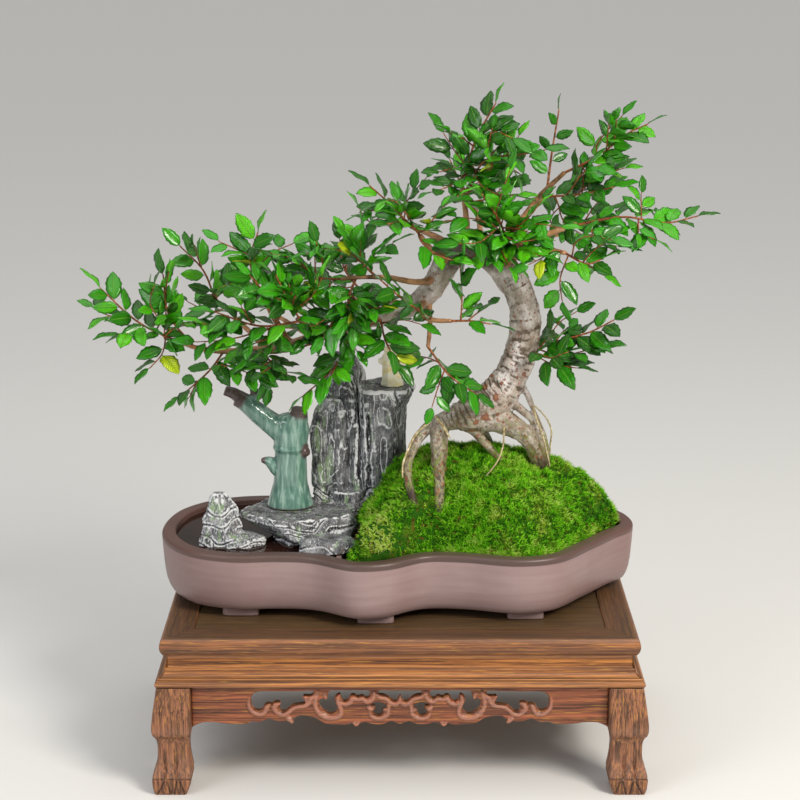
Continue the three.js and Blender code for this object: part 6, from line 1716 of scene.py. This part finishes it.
def make_aprons(woods):
    """The openwork aprons under the waist: a plate with cloud-shaped openings and raised vines, grown together and
    rounded as carving is, and turned to each side."""
    long_parts = apron_parts(LONG_EDGE, [END_SCROLL, HOOKED_SCROLL, TREFOIL], END_VINES + SHARED_VINES)
    short_parts = apron_parts(SHORT_EDGE, [HOOKED_SCROLL, TREFOIL], SHARED_VINES)
    for parts, wood, reach, first_turn, sides in (
        (long_parts, woods[0], STAND_HALF_Y, 0, ("front", "back")),
        (short_parts, woods[1], STAND_HALF_X, np.pi / 2, ("right", "left")),
    ):
        carved = grown_together("apron", parts, 0.9, smoothing=1)
        points = read_points(carved)
        # The front of the raised vines is paler: partly rubbed wear, partly painted highlight.
        worn = np.clip((-points[:, 1] - 3.7) / 1.5, 0, 1)
        placed = points - [0, reach - 8.0, 0]
        for k, side in enumerate(sides):
            mesh = carved.copy()
            write_points(mesh, turned_about_z(placed, np.pi * k + first_turn))
            set_mark(mesh, "worn", worn)
            add_piece(f"carved_apron_{side}", mesh, [wood], [f"stand_apron_{side}"])


# The scene

def make_camera():
    """The camera at the eye, on the sight line."""
    camera = new_object("camera", bpy.data.cameras.new("camera"))
    camera.data.sensor_width = 36
    camera.data.lens = 90
    camera.data.clip_end = 20
    camera.location = EYE * MM
    camera.rotation_euler = (np.pi / 2 - EYE_TILT, 0, 0)
    bpy.context.scene.camera = camera


def make_light(name, place, size, power, colour):
    """A soft square light, a size in metres across, turned from its place to the middle of the object."""
    light = new_object(name, bpy.data.lights.new(name, "AREA"))
    light.data.size = size
    light.data.energy = power
    light.data.color = linear(colour)[:3]
    light.location = place
    aim = np.array([0, 0, 0.35]) - np.array(place)
    flat = np.hypot(aim[0], aim[1])
    light.rotation_euler = (np.arctan2(flat, -aim[2]), 0, np.arctan2(aim[1], aim[0]) - np.pi / 2)


def make_studio():
    """A pale floor, a pale surround, two soft lights and an even light from above."""
    material, _, _ = new_material("studio_floor", IOR=1.45, Roughness=0.9, Base_Color=linear("#dcdcda"))
    corners = [[-40000, -9000, 0], [40000, -9000, 0], [40000, 60000, 0], [-40000, 60000, 0]]
    mesh = mesh_of("floor", [part(corners, np.array([[0, 1, 2, 3]]))])
    mesh.materials.append(material)
    new_object("floor", mesh)
    world = bpy.data.worlds.new("surround")
    bpy.context.scene.world = world
    world.use_nodes = True
    join(world.node_tree, world.node_tree.nodes["Background"], {"Color": linear("#e9e6e0"), "Strength": 0.36})
    make_light("key", (1.3, -1.5, 1.8), 0.8, 56, "#fff8ee")
    make_light("fill", (-1.5, -1.4, 1.2), 1.1, 15, "#f6f8ff")
    sky = new_object("sky", bpy.data.lights.new("sky", "SUN"))
    sky.data.energy, sky.data.angle = 1.1, np.radians(70)
    bpy.context.scene.view_settings.view_transform = "Standard"


make_camera()
make_studio()
clay = purple_clay()
make_tree(elm_bark())
make_dry_roots(dry_root())
make_foliage(elm_leaf(), young_twig())
make_tray(clay)
make_pool(pool_water(), clay)
make_moss(cushion_moss())
make_stones(weathered_stone())
make_stump(celadon_glaze())
make_pagoda(ivory_glaze(), opening_shade())
make_frame(hardwood_pair("rail_rosewood", "#a2683c", "#7a4a2c", "#40261a"),
           hardwood_pair("waist_rosewood", "#c17e3c", "#935826", "#4c2a14"))
make_aprons(hardwood_pair("carved_rosewood", "#a8603f", "#8a4e33", "#5e3625", "#b98674"))
make_legs(oiled_hardwood("leg_rosewood", 2, "#a66d4c", "#85583e", "#573a29", "#a07c6a"))
for node, material in (("soil", potting_soil()),
                       ("stand_panel", oiled_hardwood("panel_rosewood", 0, "#93734a", "#735836", "#4a3722"))):
    bpy.data.objects[node].data.materials[0] = material
